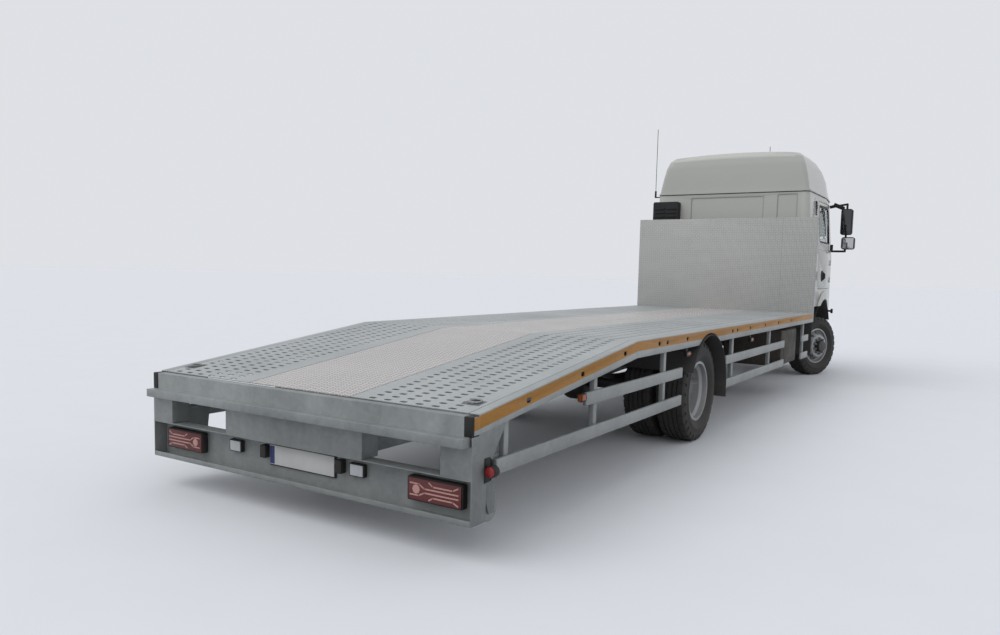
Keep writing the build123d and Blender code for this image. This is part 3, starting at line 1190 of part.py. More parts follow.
# Air intake stack behind the cab's left corner, and the aerials
INTAKE_X = (CAB_HALF - 400, CAB_HALF - 20)
INTAKE_DEEP = 120
INTAKE_LOW_Z = 1250
INTAKE_TOP_Z = 2510
INTAKE_EDGE = 25
WHIP_R = 4
WHIP_TOP_Z = 3600
WHIP_OUT = 20
WHIP_AHEAD = 60
WHIP_FOOT = (14, 30, 70)
WHIP_PLATE = (24, 14)
ROOF_AERIAL_AT = (-350, 700)
ROOF_AERIAL = 190
intake = block(INTAKE_X[0], INTAKE_X[1], CAB_REAR_Y, CAB_REAR_Y + INTAKE_DEEP, INTAKE_LOW_Z, INTAKE_TOP_Z)
save("air_intake", fillet(intake.edges().filter_by(Axis.Y), INTAKE_EDGE))
whip_x, whip_y = CAB_HALF + WHIP_OUT, CAB_REAR_Y - WHIP_AHEAD
foot_r, foot_down, foot_up = WHIP_FOOT
foot_low = GUTTER_Z - foot_down
whip = rod((whip_x, whip_y, foot_low), (whip_x, whip_y, WHIP_TOP_Z), WHIP_R)
foot = rod((whip_x, whip_y, foot_low), (whip_x, whip_y, GUTTER_Z + foot_up), foot_r)
plate_half = WHIP_PLATE[0] / 2
bracket = block(CAB_HALF - 2 * TUMBLEHOME, whip_x, whip_y - plate_half, whip_y + plate_half, foot_low,
                foot_low + WHIP_PLATE[1]) - outer
crown_z = ROOF_TIERS[-1][0]
aerial_x, aerial_y = ROOF_AERIAL_AT[0], CAB_REAR_Y - ROOF_AERIAL_AT[1]
roof_aerial = rod((aerial_x, aerial_y, crown_z), (aerial_x, aerial_y, crown_z + ROOF_AERIAL), WHIP_R)
save("aerials", [fuse([whip, foot, bracket]), roof_aerial])

# Bumper on the rails' noses, with headlamps and two treads below each door
BUMPER_LOW_Z = 340
BUMPER_TOP_Z = 775
BUMPER_BACK_IN = 690
BUMPER_WALL = 50
LENS = 40
HEADLAMP_X = (CAB_HALF - 420, CAB_HALF - 130)
HEADLAMP_Z = (480, 690)
HEADLAMP_DEEP = 330
ARM_LAP = 10
ARM_LOW = RAIL_LOW_Z + 20
ARM_HIGH = RAIL_LOW_Z + 110
STEP_IN = 240
STEP_ZS = (BUMPER_LOW_Z, 520)
STEP_SKIN = 20
STEP_HOLE_IN = 60
STEP_FRONT_IN = 330
bumper_height = BUMPER_TOP_Z - BUMPER_LOW_Z
BUMPER_PLAN = CAB_PLAN[:3] + ((CAB_HALF - 320, 0, 240),)


def bumper_form(inset):
    """Solid of the bumper's outline moved in by inset, cut off behind."""
    form = extrude(plan(BUMPER_PLAN, BUMPER_LOW_Z, inset), bumper_height, dir=(0, 0, 1))
    return form - block(-far, far, FRONT_Y + BUMPER_BACK_IN, FRONT_Y + far, 0, 2 * BUMPER_TOP_Z)


def nose_y(z):
    """Front face of the rail's nose at a height."""
    share = (z - RAIL_LOW_Z) / (PIVOT_Z - NOSE_DOWN - RAIL_LOW_Z)
    return PIVOT_Y + 2 * NOSE_HALF - 3 * NOSE_HALF * share


def bumper_arm(side):
    """Flat arm from the rail's nose to the bumper."""
    y = FRONT_Y + BUMPER_WALL - ARM_LAP
    return slab([(y, ARM_LOW), (nose_y(ARM_LOW), ARM_LOW), (nose_y(ARM_HIGH), ARM_HIGH), (y, ARM_HIGH)],
                side * RAIL_INNER_X, side * RAIL_X)


bumper = bumper_form(0) - bumper_form(BUMPER_WALL)
lens_form = bumper_form(0) - bumper_form(LENS)
headlamps = [lens_form & block(side * HEADLAMP_X[0], side * HEADLAMP_X[1], FRONT_Y - 1,
                               FRONT_Y + HEADLAMP_DEEP, *HEADLAMP_Z) for _, side in SIDES]
step_y0, step_y1 = FRONT_Y + STEP_FRONT_IN, FRONT_Y + BUMPER_BACK_IN
for _, side in SIDES:
    bumper = bumper + bumper_arm(side)
    for z in STEP_ZS:
        bumper = bumper + block(side * (CAB_HALF - STEP_IN), side * (CAB_HALF - BUMPER_WALL + ARM_LAP),
                                step_y0, step_y1, z, z + STEP_SKIN)
    bumper = bumper - block(side * (CAB_HALF - STEP_IN), side * CAB_HALF, step_y0 + STEP_HOLE_IN,
                            step_y1 - STEP_HOLE_IN, STEP_ZS[0] + STEP_HOLE_IN, STEP_ZS[1])
for lens in headlamps:
    bumper = bumper - lens
save("bumper", bumper)
save("headlamps", headlamps)

# Flaps behind the front wheels, on the rails
FLAP_FRONT_IN = 2060
FLAP_LOW_Z = 350
FLAP_TOP_Z = 930
FLAP_SKIN = 6
FLAP_INNER_X = 700
FLAP_STAY_BEHIND = 40
FLAP_STAY_DOWN = 60
FLAP_STAY_R = 16
flap_y = FRONT_Y + FLAP_FRONT_IN
stay_z = RAIL_TOP_Z - FLAP_STAY_DOWN
stay_end = CAB_HALF - FLAP_STAY_DOWN


def front_flap(side):
    """Rubber flap clamped to a stay from the rail."""
    stay_y = flap_y + FLAP_STAY_BEHIND
    hang = block(side * FLAP_INNER_X, side * CAB_HALF, flap_y, flap_y + FLAP_SKIN, FLAP_LOW_Z, FLAP_TOP_Z)
    stay = rod((side * RAIL_X, stay_y, stay_z), (side * stay_end, stay_y, stay_z), FLAP_STAY_R)
    clamp = block(side * FLAP_INNER_X, side * stay_end, flap_y + FLAP_SKIN, stay_y, stay_z - FLAP_STAY_R,
                  stay_z + FLAP_STAY_R)
    return fuse([hang, stay, clamp])


save("front_flaps", both(front_flap))

os.makedirs("parts", exist_ok=True)
for name, shape in nodes.items():
    export_step(shape, f"parts/{name}.step")
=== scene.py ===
import json
from math import atan2, copysign, cos, pi, radians, sin, tan

import bmesh
import bpy
from mathutils import Matrix, Vector

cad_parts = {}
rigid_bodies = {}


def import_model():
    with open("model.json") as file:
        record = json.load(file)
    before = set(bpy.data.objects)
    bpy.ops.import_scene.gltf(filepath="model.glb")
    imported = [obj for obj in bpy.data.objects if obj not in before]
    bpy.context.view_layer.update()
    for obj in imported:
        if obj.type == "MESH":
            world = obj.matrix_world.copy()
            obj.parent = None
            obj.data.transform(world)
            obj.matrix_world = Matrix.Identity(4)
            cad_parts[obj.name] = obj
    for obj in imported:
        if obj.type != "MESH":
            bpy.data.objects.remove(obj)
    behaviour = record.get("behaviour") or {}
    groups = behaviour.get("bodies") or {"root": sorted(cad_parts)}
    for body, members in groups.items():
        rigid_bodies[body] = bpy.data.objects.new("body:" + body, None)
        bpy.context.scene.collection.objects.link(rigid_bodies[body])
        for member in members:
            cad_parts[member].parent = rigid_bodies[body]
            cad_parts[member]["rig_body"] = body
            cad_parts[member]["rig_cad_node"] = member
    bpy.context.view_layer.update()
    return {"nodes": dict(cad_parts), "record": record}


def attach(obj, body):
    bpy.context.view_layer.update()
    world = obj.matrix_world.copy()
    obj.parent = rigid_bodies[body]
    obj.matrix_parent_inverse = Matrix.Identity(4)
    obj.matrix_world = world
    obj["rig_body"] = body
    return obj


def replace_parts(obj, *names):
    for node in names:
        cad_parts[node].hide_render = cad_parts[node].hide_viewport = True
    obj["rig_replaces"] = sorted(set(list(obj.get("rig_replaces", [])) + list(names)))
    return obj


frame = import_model()
world = bpy.context.scene
bodies = frame["record"]["behaviour"]["bodies"]
body_of_node = {node: body for body, nodes in bodies.items() for node in nodes}

# Rear frame, lamp beam, tail members and skid roller brackets: plates and channels welded up and then
# hot-dip galvanised, so their edges are soft and the zinc is clouded, with runs from the dip.
# Each is a copy of its solid with merged faces, rounded edges and faces shaded by angle.


def only(piece):
    """Select one piece and nothing else."""
    bpy.ops.object.select_all(action="DESELECT")
    piece.select_set(True)
    bpy.context.view_layer.objects.active = piece


def mode(kind):
    """Put the active piece in edit mode or back in object mode."""
    bpy.ops.object.mode_set(mode=kind)


def weld(gap):
    """In edit mode, select all and merge what lies closer together than a gap."""
    bpy.ops.mesh.select_all(action="SELECT")
    bpy.ops.mesh.remove_doubles(threshold=gap)


def crisp(angle=30):
    """Shade the active piece smooth between edges that turn by more than an angle in degrees."""
    bpy.ops.object.shade_smooth_by_angle(angle=radians(angle))


def shaped(piece, kind, **settings):
    """Apply one modifier to the active piece."""
    made = piece.modifiers.new("made", kind)
    for key, value in settings.items():
        setattr(made, key, value)
    bpy.ops.object.modifier_apply(modifier="made")


def link(source, target):
    """Feed one socket from another."""
    source.id_data.links.new(source, target)


def node(kind, inputs, tree=None, **settings):
    """Outputs of a shader node with its settings, in the tree of the sockets that feed it."""
    fed = [value for value in inputs.values() if isinstance(value, bpy.types.NodeSocket)]
    made = (tree or fed[0].id_data).nodes.new("ShaderNode" + kind)
    for key, value in settings.items():
        setattr(made, key, value)
    for key, value in inputs.items():
        if isinstance(value, bpy.types.NodeSocket):
            link(value, made.inputs[key])
        else:
            made.inputs[key].default_value = value
    return made.outputs


def maths(operation, first, second=0.0, third=0.0, clamp=False):
    """Result of one Math node."""
    return node("Math", {0: first, 1: second, 2: third}, operation=operation, use_clamp=clamp)[0]


def ranged(value, low, high, start=0.0, end=1.0, way="LINEAR"):
    """Value carried from the range low to high over to the range start to end."""
    ends = {"From Min": low, "From Max": high, "To Min": start, "To Max": end}
    return node("MapRange", {"Value": value, **ends}, interpolation_type=way)[0]


def noise(place, scale, detail=2.0, rough=0.5):
    """Clouded pattern at a place."""
    return node("TexNoise", {"Vector": place, "Scale": scale, "Detail": detail, "Roughness": rough})[0]


def mix(share, first, second):
    """Colour between two, by the share of the second."""
    tones = [tone if isinstance(tone, bpy.types.NodeSocket) else (*tone, 1) for tone in (first, second)]
    return node("Mix", {0: share, 6: tones[0], 7: tones[1]}, data_type="RGBA")[2]


def placed(material):
    """Object coordinates of a finish, whole and apart."""
    place = node("TexCoord", {}, material.node_tree)["Object"]
    return place, node("SeparateXYZ", {"Vector": place})


def group(name, inputs, outputs):
    """Empty shader group with a vector and named numbers as its inputs, and its ends."""
    tree = bpy.data.node_groups.new(name, "ShaderNodeTree")
    tree.interface.new_socket("Vector", in_out="INPUT", socket_type="NodeSocketVector")
    for label, value in inputs.items():
        socket = tree.interface.new_socket(label, in_out="INPUT", socket_type="NodeSocketFloat")
        socket.default_value = value
    for label in outputs:
        tree.interface.new_socket(label, in_out="OUTPUT", socket_type="NodeSocketFloat")
    return tree, tree.nodes.new("NodeGroupInput").outputs, tree.nodes.new("NodeGroupOutput").inputs


patina, given, result = group("patina", {"Scale": 1.0, "Runs": 0.3, "Spangle": 0.3}, ["Mask", "Grain"])
place, scale = given["Vector"], given["Scale"]
clouds = noise(place, scale, 6.0, 0.6)
drawn = node("VectorMath", {0: place, 1: (1.0, 1.0, 0.08)}, operation="MULTIPLY")[0]
runs = noise(drawn, maths("MULTIPLY", scale, 9.0), 3.0)
flakes = node("TexVoronoi", {"Vector": place, "Scale": maths("MULTIPLY", scale, 30.0)})["Color"]
flake = node("SeparateColor", {"Color": flakes})[0]
total = 0.0
for pattern, weight in ((clouds, 1.6), (runs, given["Runs"]), (flake, given["Spangle"])):
    drift = maths("MULTIPLY", maths("SUBTRACT", pattern, 0.5), weight)
    total = maths("ADD", drift, total)
link(maths("ADD", total, 0.5, clamp=True), result["Mask"])
link(noise(place, maths("MULTIPLY", scale, 120.0), 4.0), result["Grain"])

road_dirt, given, result = group("road_dirt", {"Top": 1.0, "Amount": 0.5}, ["Mask"])
height = node("SeparateXYZ", {"Vector": given["Vector"]})[2]
fade = ranged(height, 0.1, given["Top"], 1.0, 0.0, "SMOOTHSTEP")
spray = ranged(noise(given["Vector"], 5.0, 8.0, 0.65), 0.3, 0.7)
spray = maths("MULTIPLY", fade, spray)
link(maths("MULTIPLY", spray, given["Amount"], clamp=True), result["Mask"])

DUST = (0.16, 0.145, 0.125)


def sockets(material):
    """Inputs of a finish's shader."""
    return material.node_tree.nodes["Principled BSDF"].inputs


def fresh(name):
    """New material and its shader's inputs."""
    made = bpy.data.materials.new(name)
    made.use_nodes = True
    return made, sockets(made)


def surface(name, light, dark, rough, metallic=0.0, scale=3, runs=0.3, spangle=0.05, bump=0.1, dirt=0.2,
            top=0.9):
    """Finish whose colour and roughness drift between two values, dirty low down, with a fine grain."""
    made, shader = fresh(name)
    shader["Metallic"].default_value = metallic
    place = placed(made)[0]
    given = {"Vector": place, "Scale": scale, "Runs": runs, "Spangle": spangle}
    drift = node("Group", given, node_tree=patina)
    colour = mix(drift["Mask"], light, dark)
    roughness = ranged(drift["Mask"], 0.0, 1.0, *rough)
    if dirt:
        soil = node("Group", {"Vector": place, "Top": top, "Amount": dirt}, node_tree=road_dirt)[0]
        colour = mix(soil, colour, DUST)
        roughness = maths("ADD", roughness, maths("MULTIPLY", soil, 0.3), clamp=True)
    link(colour, shader["Base Color"])
    link(roughness, shader["Roughness"])
    relief = node("Bump", {"Height": drift["Grain"], "Strength": bump, "Distance": 0.002})[0]
    link(relief, shader["Normal"])
    return made


def over(material, share, tone):
    """Lay a colour over a finish, by its share."""
    base = sockets(material)["Base Color"]
    link(mix(share, base.links[0].from_socket, tone), base)


def emboss(material, height, strength, distance):
    """Add relief to a finish, on top of its grain."""
    normal = sockets(material)["Normal"]
    relief = node("Bump", {"Height": height, "Strength": strength, "Distance": distance,
                           "Normal": normal.links[0].from_socket})[0]
    link(relief, normal)


def settle(piece, name, material, body, slot, *nodes):
    """Name a finished piece, give it its finish and its body, and say which solids it stands for."""
    piece.name = name
    piece.data.name = name
    piece.data.materials.clear()
    piece.data.materials.append(material)
    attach(piece, body)
    if nodes:
        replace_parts(piece, *nodes)


def refined(source, material, slot, edge=0.002, angle=35):
    """Copy of a solid with its triangles merged, its sharp edges rounded and its faces shaded by angle."""
    only(frame["nodes"][source])
    bpy.ops.object.duplicate()
    piece = bpy.context.object
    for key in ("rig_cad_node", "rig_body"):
        del piece[key]
    piece.parent = None
    mode("EDIT")
    weld(0.00001)
    bpy.ops.mesh.dissolve_limited(angle_limit=radians(0.3))
    mode("OBJECT")
    if edge:
        shaped(piece, "BEVEL", width=edge, segments=2, limit_method="ANGLE", angle_limit=radians(angle))
    crisp(angle)
    settle(piece, f"{source}_finish", material, body_of_node[source], slot, source)


def about(middle, half):
    """Two places that lie equally far to either side of a middle."""
    return middle - half, middle + half


def cuboid(x, y, z, edge=0.001, corner=0.0, axis=1, side=1):
    """Box from its ends in x, y and z, with one family of edges rounded far and all the others a little.

    It is on the truck's left for side 1, and mirrored to its right for side -1.
    """
    spans = ((side * x[0], side * x[1]), y, z)
    bpy.ops.mesh.primitive_cube_add(size=1, location=[(a + b) / 2 for a, b in spans],
                                    scale=[abs(b - a) for a, b in spans])
    piece = bpy.context.object
    bpy.ops.object.transform_apply()
    if corner:
        mode("EDIT")
        form = bmesh.from_edit_mesh(piece.data)
        for part in (*form.verts, *form.edges, *form.faces):
            part.select_set(False)
        for line in form.edges:
            way = line.verts[0].co - line.verts[1].co
            line.select_set(abs(way[axis]) > 0.9 * way.length)
        form.select_flush_mode()
        bmesh.update_edit_mesh(piece.data)
        bpy.ops.mesh.bevel(offset=corner, segments=5)
        mode("OBJECT")
    if edge:
        shaped(piece, "BEVEL", width=edge, segments=2, limit_method="ANGLE", angle_limit=radians(40))
    crisp()
    return piece


def joined(pieces):
    """One piece from several."""
    only(pieces[0])
    for piece in pieces[1:]:
        piece.select_set(True)
    bpy.ops.object.join()
    return pieces[0]


zinc_frame = surface("galvanised_frame", (0.38, 0.4, 0.395), (0.2, 0.215, 0.215), (0.45, 0.68), metallic=0.35,
                     scale=1.2, runs=0.55, spangle=0.14, bump=0.12, dirt=0.25, top=0.6)
for source in ("rear_frame", "lamp_beam", "tail_frame", "roller_brackets"):
    refined(source, zinc_frame, "galvanised")

# End caps of the fascia: black plastic plugs at the deck's two rear corners, with a fine moulded grain.
# They are copies of their solids with rounded edges.
black = surface("black_plastic", (0.006, 0.006, 0.0065), (0.014, 0.014, 0.014), (0.45, 0.65), scale=4,
                bump=0.25, top=1.2)
sockets(black)["Specular IOR Level"].default_value = 0.35
refined("end_caps", black, "black_plastic", edge=0.004)

# Side channels of the deck: folded steel, galvanised, with an orange reflective tape along the upper part of
# the web and slots for lashing. The tape's band follows the deck's height, which drops behind the bend.
SIDES = (("left", 1), ("right", -1))
BEND_Y, DECK_END_Y, TAIL_Y = 3.335, 5.285, 5.345
DECK_Z, DECK_TAIL_Z, FASCIA_LOW = 0.976, 0.733, 0.641
TAPE_TOP, TAPE_LOW, WEB_X = 0.007, 0.073, 1.2485
tape_side = surface("galvanised_side", (0.47, 0.49, 0.49), (0.3, 0.32, 0.32), (0.42, 0.62), metallic=0.35,
                    scale=1.4, runs=0.4, spangle=0.14)
x, y, z = placed(tape_side)[1]
below = maths("SUBTRACT", ranged(y, BEND_Y, TAIL_Y, DECK_Z, DECK_TAIL_Z), z)
in_tape = maths("MULTIPLY", maths("GREATER_THAN", below, TAPE_TOP), maths("LESS_THAN", below, TAPE_LOW))
in_tape = maths("MULTIPLY", in_tape, maths("GREATER_THAN", maths("ABSOLUTE", x), WEB_X))
cells = node("TexVoronoi", {"Scale": 160.0}, tape_side.node_tree)["Distance"]
over(tape_side, in_tape, mix(cells, (0.5, 0.235, 0.035), (0.37, 0.16, 0.018)))
link(ranged(in_tape, 0.0, 1.0, 0.35, 0.0), sockets(tape_side)["Metallic"])
refined("deck_sides", tape_side, "galvanised", edge=0.0015)
SLEEVE_Y, SLEEVE_Z = (DECK_END_Y - 0.004, TAIL_Y - 0.014), (FASCIA_LOW, DECK_TAIL_Z - 0.002)
sleeves = [cuboid((1.2492, 1.2512), SLEEVE_Y, SLEEVE_Z, 0.0004, side=side) for _, side in SIDES]
settle(joined(sleeves), "cap_sleeves", tape_side, "chassis", "galvanised")

# Wheel tracks of the deck: galvanised sheet with six rows of punched slots on each side, level as far as the
# bend and sloping behind it. One slot is cut in one cell, and the cells are repeated along and across.
SLOT_ROWS, ROW_PITCH, SLOT_PITCH = 6, 0.105, 0.062
SLOT_LONG, SLOT_WIDE = 0.05, 0.026
ROW_START, LEFT_SHIFT = 0.4875, 0.04
TRACK_IN, TRACK_OUT, SHEET = 0.41, 1.190, 0.005
HEAD_Y = -2.675
zinc_deck = surface("galvanised_deck", (0.47, 0.49, 0.485), (0.33, 0.35, 0.35), (0.42, 0.62), metallic=0.3,
                    scale=1.1, runs=0.1, spangle=0.14, dirt=0)
joint = maths("GREATER_THAN", maths("ABSOLUTE", placed(zinc_deck)[1][0]), TRACK_OUT - 0.004)
over(zinc_deck, joint, (0.05, 0.05, 0.05))


def pick(piece, test, kind="faces"):
    """In edit mode, select the faces, edges or vertices that pass a test."""
    form = bmesh.from_edit_mesh(piece.data)
    for item in (*form.verts, *form.edges, *form.faces):
        item.select_set(False)
    for item in getattr(form, kind):
        if test(item):
            item.select_set(True)
    form.select_flush_mode()
    bmesh.update_edit_mesh(piece.data)


def slotted_sheet(y0, y1, side):
    """Sheet between two places along the deck, on one side, with its rows of slots, its faces up."""
    count = int((y1 - y0) / SLOT_PITCH)
    cell = (y1 - y0) / count
    row_start = ROW_START + (LEFT_SHIFT if side > 0 else 0)
    middle = (row_start + ROW_PITCH / 2, y0 + cell / 2, DECK_Z)
    bpy.ops.mesh.primitive_circle_add(vertices=12, radius=SLOT_WIDE / 2, location=middle,
                                      rotation=(0, 0, pi / 12))
    piece = bpy.context.object
    bpy.ops.object.transform_apply()
    mode("EDIT")
    for way in (-1, 1):
        pick(piece, lambda v: (v.co.x - middle[0]) * way > 0, "verts")
        bpy.ops.transform.translate(value=(way * (SLOT_LONG - SLOT_WIDE) / 2, 0, 0))
    bpy.ops.mesh.select_all(action="SELECT")
    bpy.ops.mesh.extrude_edges_move()
    for v in bmesh.from_edit_mesh(piece.data).verts:
        if v.select:
            aside, ahead = v.co.x - middle[0], v.co.y - middle[1]
            at_corner = abs(ahead) > 0.3 * SLOT_WIDE
            v.co.x = middle[0] + copysign(ROW_PITCH / 2, aside)
            v.co.y = middle[1] + copysign(cell / (2 if at_corner else 6), ahead)
    bmesh.update_edit_mesh(piece.data)
    mode("OBJECT")
    for number, offset in ((count, (0, cell, 0)), (SLOT_ROWS, (ROW_PITCH, 0, 0))):
        shaped(piece, "ARRAY", count=number, use_relative_offset=False, use_constant_offset=True,
               constant_offset_displace=offset, use_merge_vertices=True, merge_threshold=0.0005)
    mode("EDIT")
    for edge_x, reach in ((row_start, TRACK_IN), (row_start + SLOT_ROWS * ROW_PITCH, TRACK_OUT)):
        pick(piece, lambda line: all(abs(v.co.x - edge_x) < 0.001 for v in line.verts), "edges")
        bpy.ops.mesh.extrude_edges_move(TRANSFORM_OT_translate={"value": (reach - edge_x, 0, 0)})
    weld(0.0005)
    bpy.ops.mesh.normals_make_consistent(inside=False)
    mode("OBJECT")
    if side < 0:
        piece.data.transform(Matrix.Diagonal((-1, 1, 1, 1)))
    if piece.data.polygons[0].normal.z < 0:
        mode("EDIT")
        bpy.ops.mesh.select_all(action="SELECT")
        bpy.ops.mesh.flip_normals()
        mode("OBJECT")
    return piece


slope = atan2(DECK_Z - DECK_TAIL_Z, TAIL_Y - BEND_Y)
slope_length = (DECK_END_Y - BEND_Y) / cos(slope)
tilt = (Matrix.Translation((0, BEND_Y, DECK_Z)) @ Matrix.Rotation(-slope, 4, "X")
        @ Matrix.Translation((0, -BEND_Y, -DECK_Z)))
for name, side in SIDES:
    level = slotted_sheet(HEAD_Y, BEND_Y, side)
    sloping = slotted_sheet(BEND_Y, BEND_Y + slope_length, side)
    sloping.data.transform(tilt)
    joined([level, sloping])
    mode("EDIT")
    weld(0.0005)
    mode("OBJECT")
    shaped(level, "SOLIDIFY", thickness=SHEET, offset=-1)
    crisp()
    stands_for = ["deck_tracks"] if side > 0 else []
    settle(level, f"track_sheet_{name}", zinc_deck, "chassis", "galvanised", *stands_for)

# Lashing rings near the tail: a steel ring that lies in a dished plate, let into each track. The dish is
# drawn as a flat plate whose dark colour is painted shade of its hollow. The ring is a torus, and both follow
# the deck's slope.
ring_steel = surface("ring_steel", (0.36, 0.37, 0.37), (0.2, 0.2, 0.2), (0.3, 0.5), metallic=0.8, scale=12,
                     spangle=0.1, dirt=0)
# painted shade: the flat plate is coloured dark for the shade in the dish's hollow
dish_shade = surface("dished_plate", (0.19, 0.195, 0.195), (0.1, 0.102, 0.102), (0.5, 0.7), metallic=0.4,
                     scale=8, spangle=0.1, dirt=0)
RING_Y, RING_XS = 5.135, {"left": 1.135, "right": 1.105}
for name, side in SIDES:
    x = RING_XS[name]
    dish = cuboid(about(x, 0.053), about(RING_Y, 0.042), (DECK_Z - 0.002, DECK_Z + 0.0015), 0.0005, 0.012, 2,
                  side)
    bpy.ops.mesh.primitive_torus_add(
        location=(side * x, RING_Y - 0.012, DECK_Z + 0.006), major_radius=0.033, minor_radius=0.006,
        major_segments=28, minor_segments=8)
    ring = bpy.context.object
    bpy.ops.object.transform_apply()
    bpy.ops.object.shade_smooth()
    keeper = cuboid(about(x, 0.018), (RING_Y + 0.012, RING_Y + 0.034), (DECK_Z, DECK_Z + 0.014), 0.003,
                    side=side)
    joined([ring, keeper])
    dish.data.transform(tilt)
    ring.data.transform(tilt)
    settle(dish, f"ring_plate_{name}", dish_shade, "chassis", "galvanised")
    settle(ring, f"lashing_ring_{name}", ring_steel, "chassis", "galvanised")

# Floor between the tracks and headboard: aluminium tread plate with raised bars, two to a square, turned a
# quarter from each square to the next. The bars are relief in the finish, and the sheets meet at fine seams.
tread, given, result = group("tread_bars", {"Pitch": 0.03}, ["Height"])
unit = node("VectorMath", {0: given["Vector"], "Scale": maths("DIVIDE", 1.0, given["Pitch"])},
            operation="SCALE")[0]
square = node("SeparateXYZ", {"Vector": unit})
column, row = (maths("FLOOR", square[n]) for n in (0, 1))
across, along = (maths("SUBTRACT", maths("FRACT", square[n]), 0.5) for n in (0, 1))
odd = maths("ABSOLUTE", maths("MODULO", maths("ADD", column, row), 2.0))
swap = maths("GREATER_THAN", odd, 0.5)
stay = maths("SUBTRACT", 1.0, swap)
lengthwise, sideways = (maths("ADD", maths("MULTIPLY", turned, swap),
                              maths("MULTIPLY", straight, stay))
                        for turned, straight in ((across, along), (along, across)))
BARS_PER_SQUARE = 2.0
bar_phase = maths("FRACT", maths("MULTIPLY", maths("ADD", sideways, 0.5), BARS_PER_SQUARE))
from_middle = maths("ABSOLUTE", maths("SUBTRACT", bar_phase, 0.5))
ridge = ranged(from_middle, 0.12, 0.34, 1.0, 0.0, "SMOOTHSTEP")
ends = ranged(maths("ABSOLUTE", lengthwise), 0.36, 0.46, 1.0, 0.0, "SMOOTHSTEP")
link(maths("MULTIPLY", ridge, ends), result["Height"])


def tread_plate(name, turn, light, dark, bar_tone, pitch):
    """Tread plate finish, its squares laid in the plane that the turn brings flat."""
    made = surface(name, light, dark, (0.38, 0.58), metallic=0.3, scale=1.6, runs=0.25, spangle=0.1, dirt=0)
    flat = node("Mapping", {"Vector": placed(made)[0], "Rotation": turn})[0]
    bars = node("Group", {"Vector": flat, "Pitch": pitch}, node_tree=tread)[0]
    over(made, bars, bar_tone)
    emboss(made, bars, 0.6, 0.0022)
    return made


floor_plate = tread_plate("tread_plate_floor", (0, 0, 0), (0.38, 0.355, 0.34), (0.29, 0.275, 0.265),
                          (0.74, 0.71, 0.695), 0.044)
board_plate = tread_plate("tread_plate_headboard", (pi / 2, 0, 0), (0.38, 0.375, 0.36), (0.3, 0.298, 0.288),
                          (0.6, 0.595, 0.58), 0.031)
SOLID_FLOOR_HALF = 0.35
refined("deck_floor", floor_plate, "tread_plate", edge=0)
bpy.context.object.data.transform(Matrix.Diagonal((TRACK_IN / SOLID_FLOOR_HALF, 1, 1, 1)))
refined("headboard", board_plate, "tread_plate", edge=0.0012)
seam = cuboid((-0.802, -0.8), about(HEAD_Y, 0.001), (0.98, 2.243), 0.0003)
settle(seam, "headboard_seam", zinc_frame, "chassis", "tread_plate")

# Frame behind the headboard, cross beams, long beams, side guards and their stanchions: square and flat tube,
# galvanised, paler than the rear frame. Each is a copy of its solid with the tube's rounded corners.
zinc_tube = surface("galvanised_tube", (0.45, 0.47, 0.465), (0.3, 0.315, 0.315), (0.42, 0.62), metallic=0.35,
                    scale=1.3, runs=0.35, spangle=0.14, dirt=0.35, top=0.8)
for source in ("headboard_frame", "cross_beams", "long_beams"):
    refined(source, zinc_tube, "galvanised")
for source in ("guard_rails", "guard_stanchions"):
    refined(source, zinc_tube, "galvanised", edge=0.005)

# Chassis rails, cross tubes, axles, springs, shaft and engine: satin black paint over steel and iron, dulled
# by road dust. They are copies of their solids with rounded edges.
chassis_paint = surface("chassis_paint", (0.018, 0.018, 0.019), (0.034, 0.033, 0.032), (0.4, 0.6), bump=0.15,
                        dirt=0.55, top=1.1)
engine_iron = surface("engine_iron", (0.12, 0.12, 0.125), (0.07, 0.068, 0.066), (0.5, 0.7), metallic=0.3,
                      bump=0.3, dirt=0.4, top=1.1)
for source in ("chassis_rails", "cross_tubes", "propshaft", "leaf_springs", "track_rod"):
    refined(source, chassis_paint, "chassis_paint")
for source in ("front_axle_beam", "knuckle_left", "knuckle_right", "rear_axle"):
    refined(source, chassis_paint, "chassis_paint", edge=0.003)
refined("engine_block", engine_iron, "engine_iron", edge=0.004)

# Tyres: black rubber with four grooves round the tread, blocks cut in the shoulders and a raised ring on the
# wall. Each is turned from a circle that is extruded and widened ring by ring.
AXLE_Z, FRONT_AXLE_Y, REAR_AXLE_Y = 0.434, -4.155, 1.745
KING_PIN_X, STEER = 0.845, radians(-25)
REAR_TYRE_XS, FRONT_TYRE_X = (1.0675, 0.7695), 0.9875
TYRE_TOP, TYRE_HALF, BEAD = 0.434, 0.1325, 0.2485
TYRE_STEPS, BLOCK_STEPS = 90, 3
# height above the bead, or depth below the tread, and distance inwards from the widest place
WALL = ((0.042, 0.01), (0.06, 0.004), (0.066, 0.001), (0.088, 0.0), (0.092, 0.003))
SHOULDER = ((0.05, 0.006), (0.018, 0.014), (0.004, 0.024))
SHOULDER_LOW, SHOULDER_IN = TYRE_TOP - 0.045, 0.07
tyre_rubber = surface("tyre_rubber", (0.022, 0.022, 0.022), (0.045, 0.043, 0.04), (0.62, 0.85), bump=0.3,
                      dirt=0.25, top=0.7)


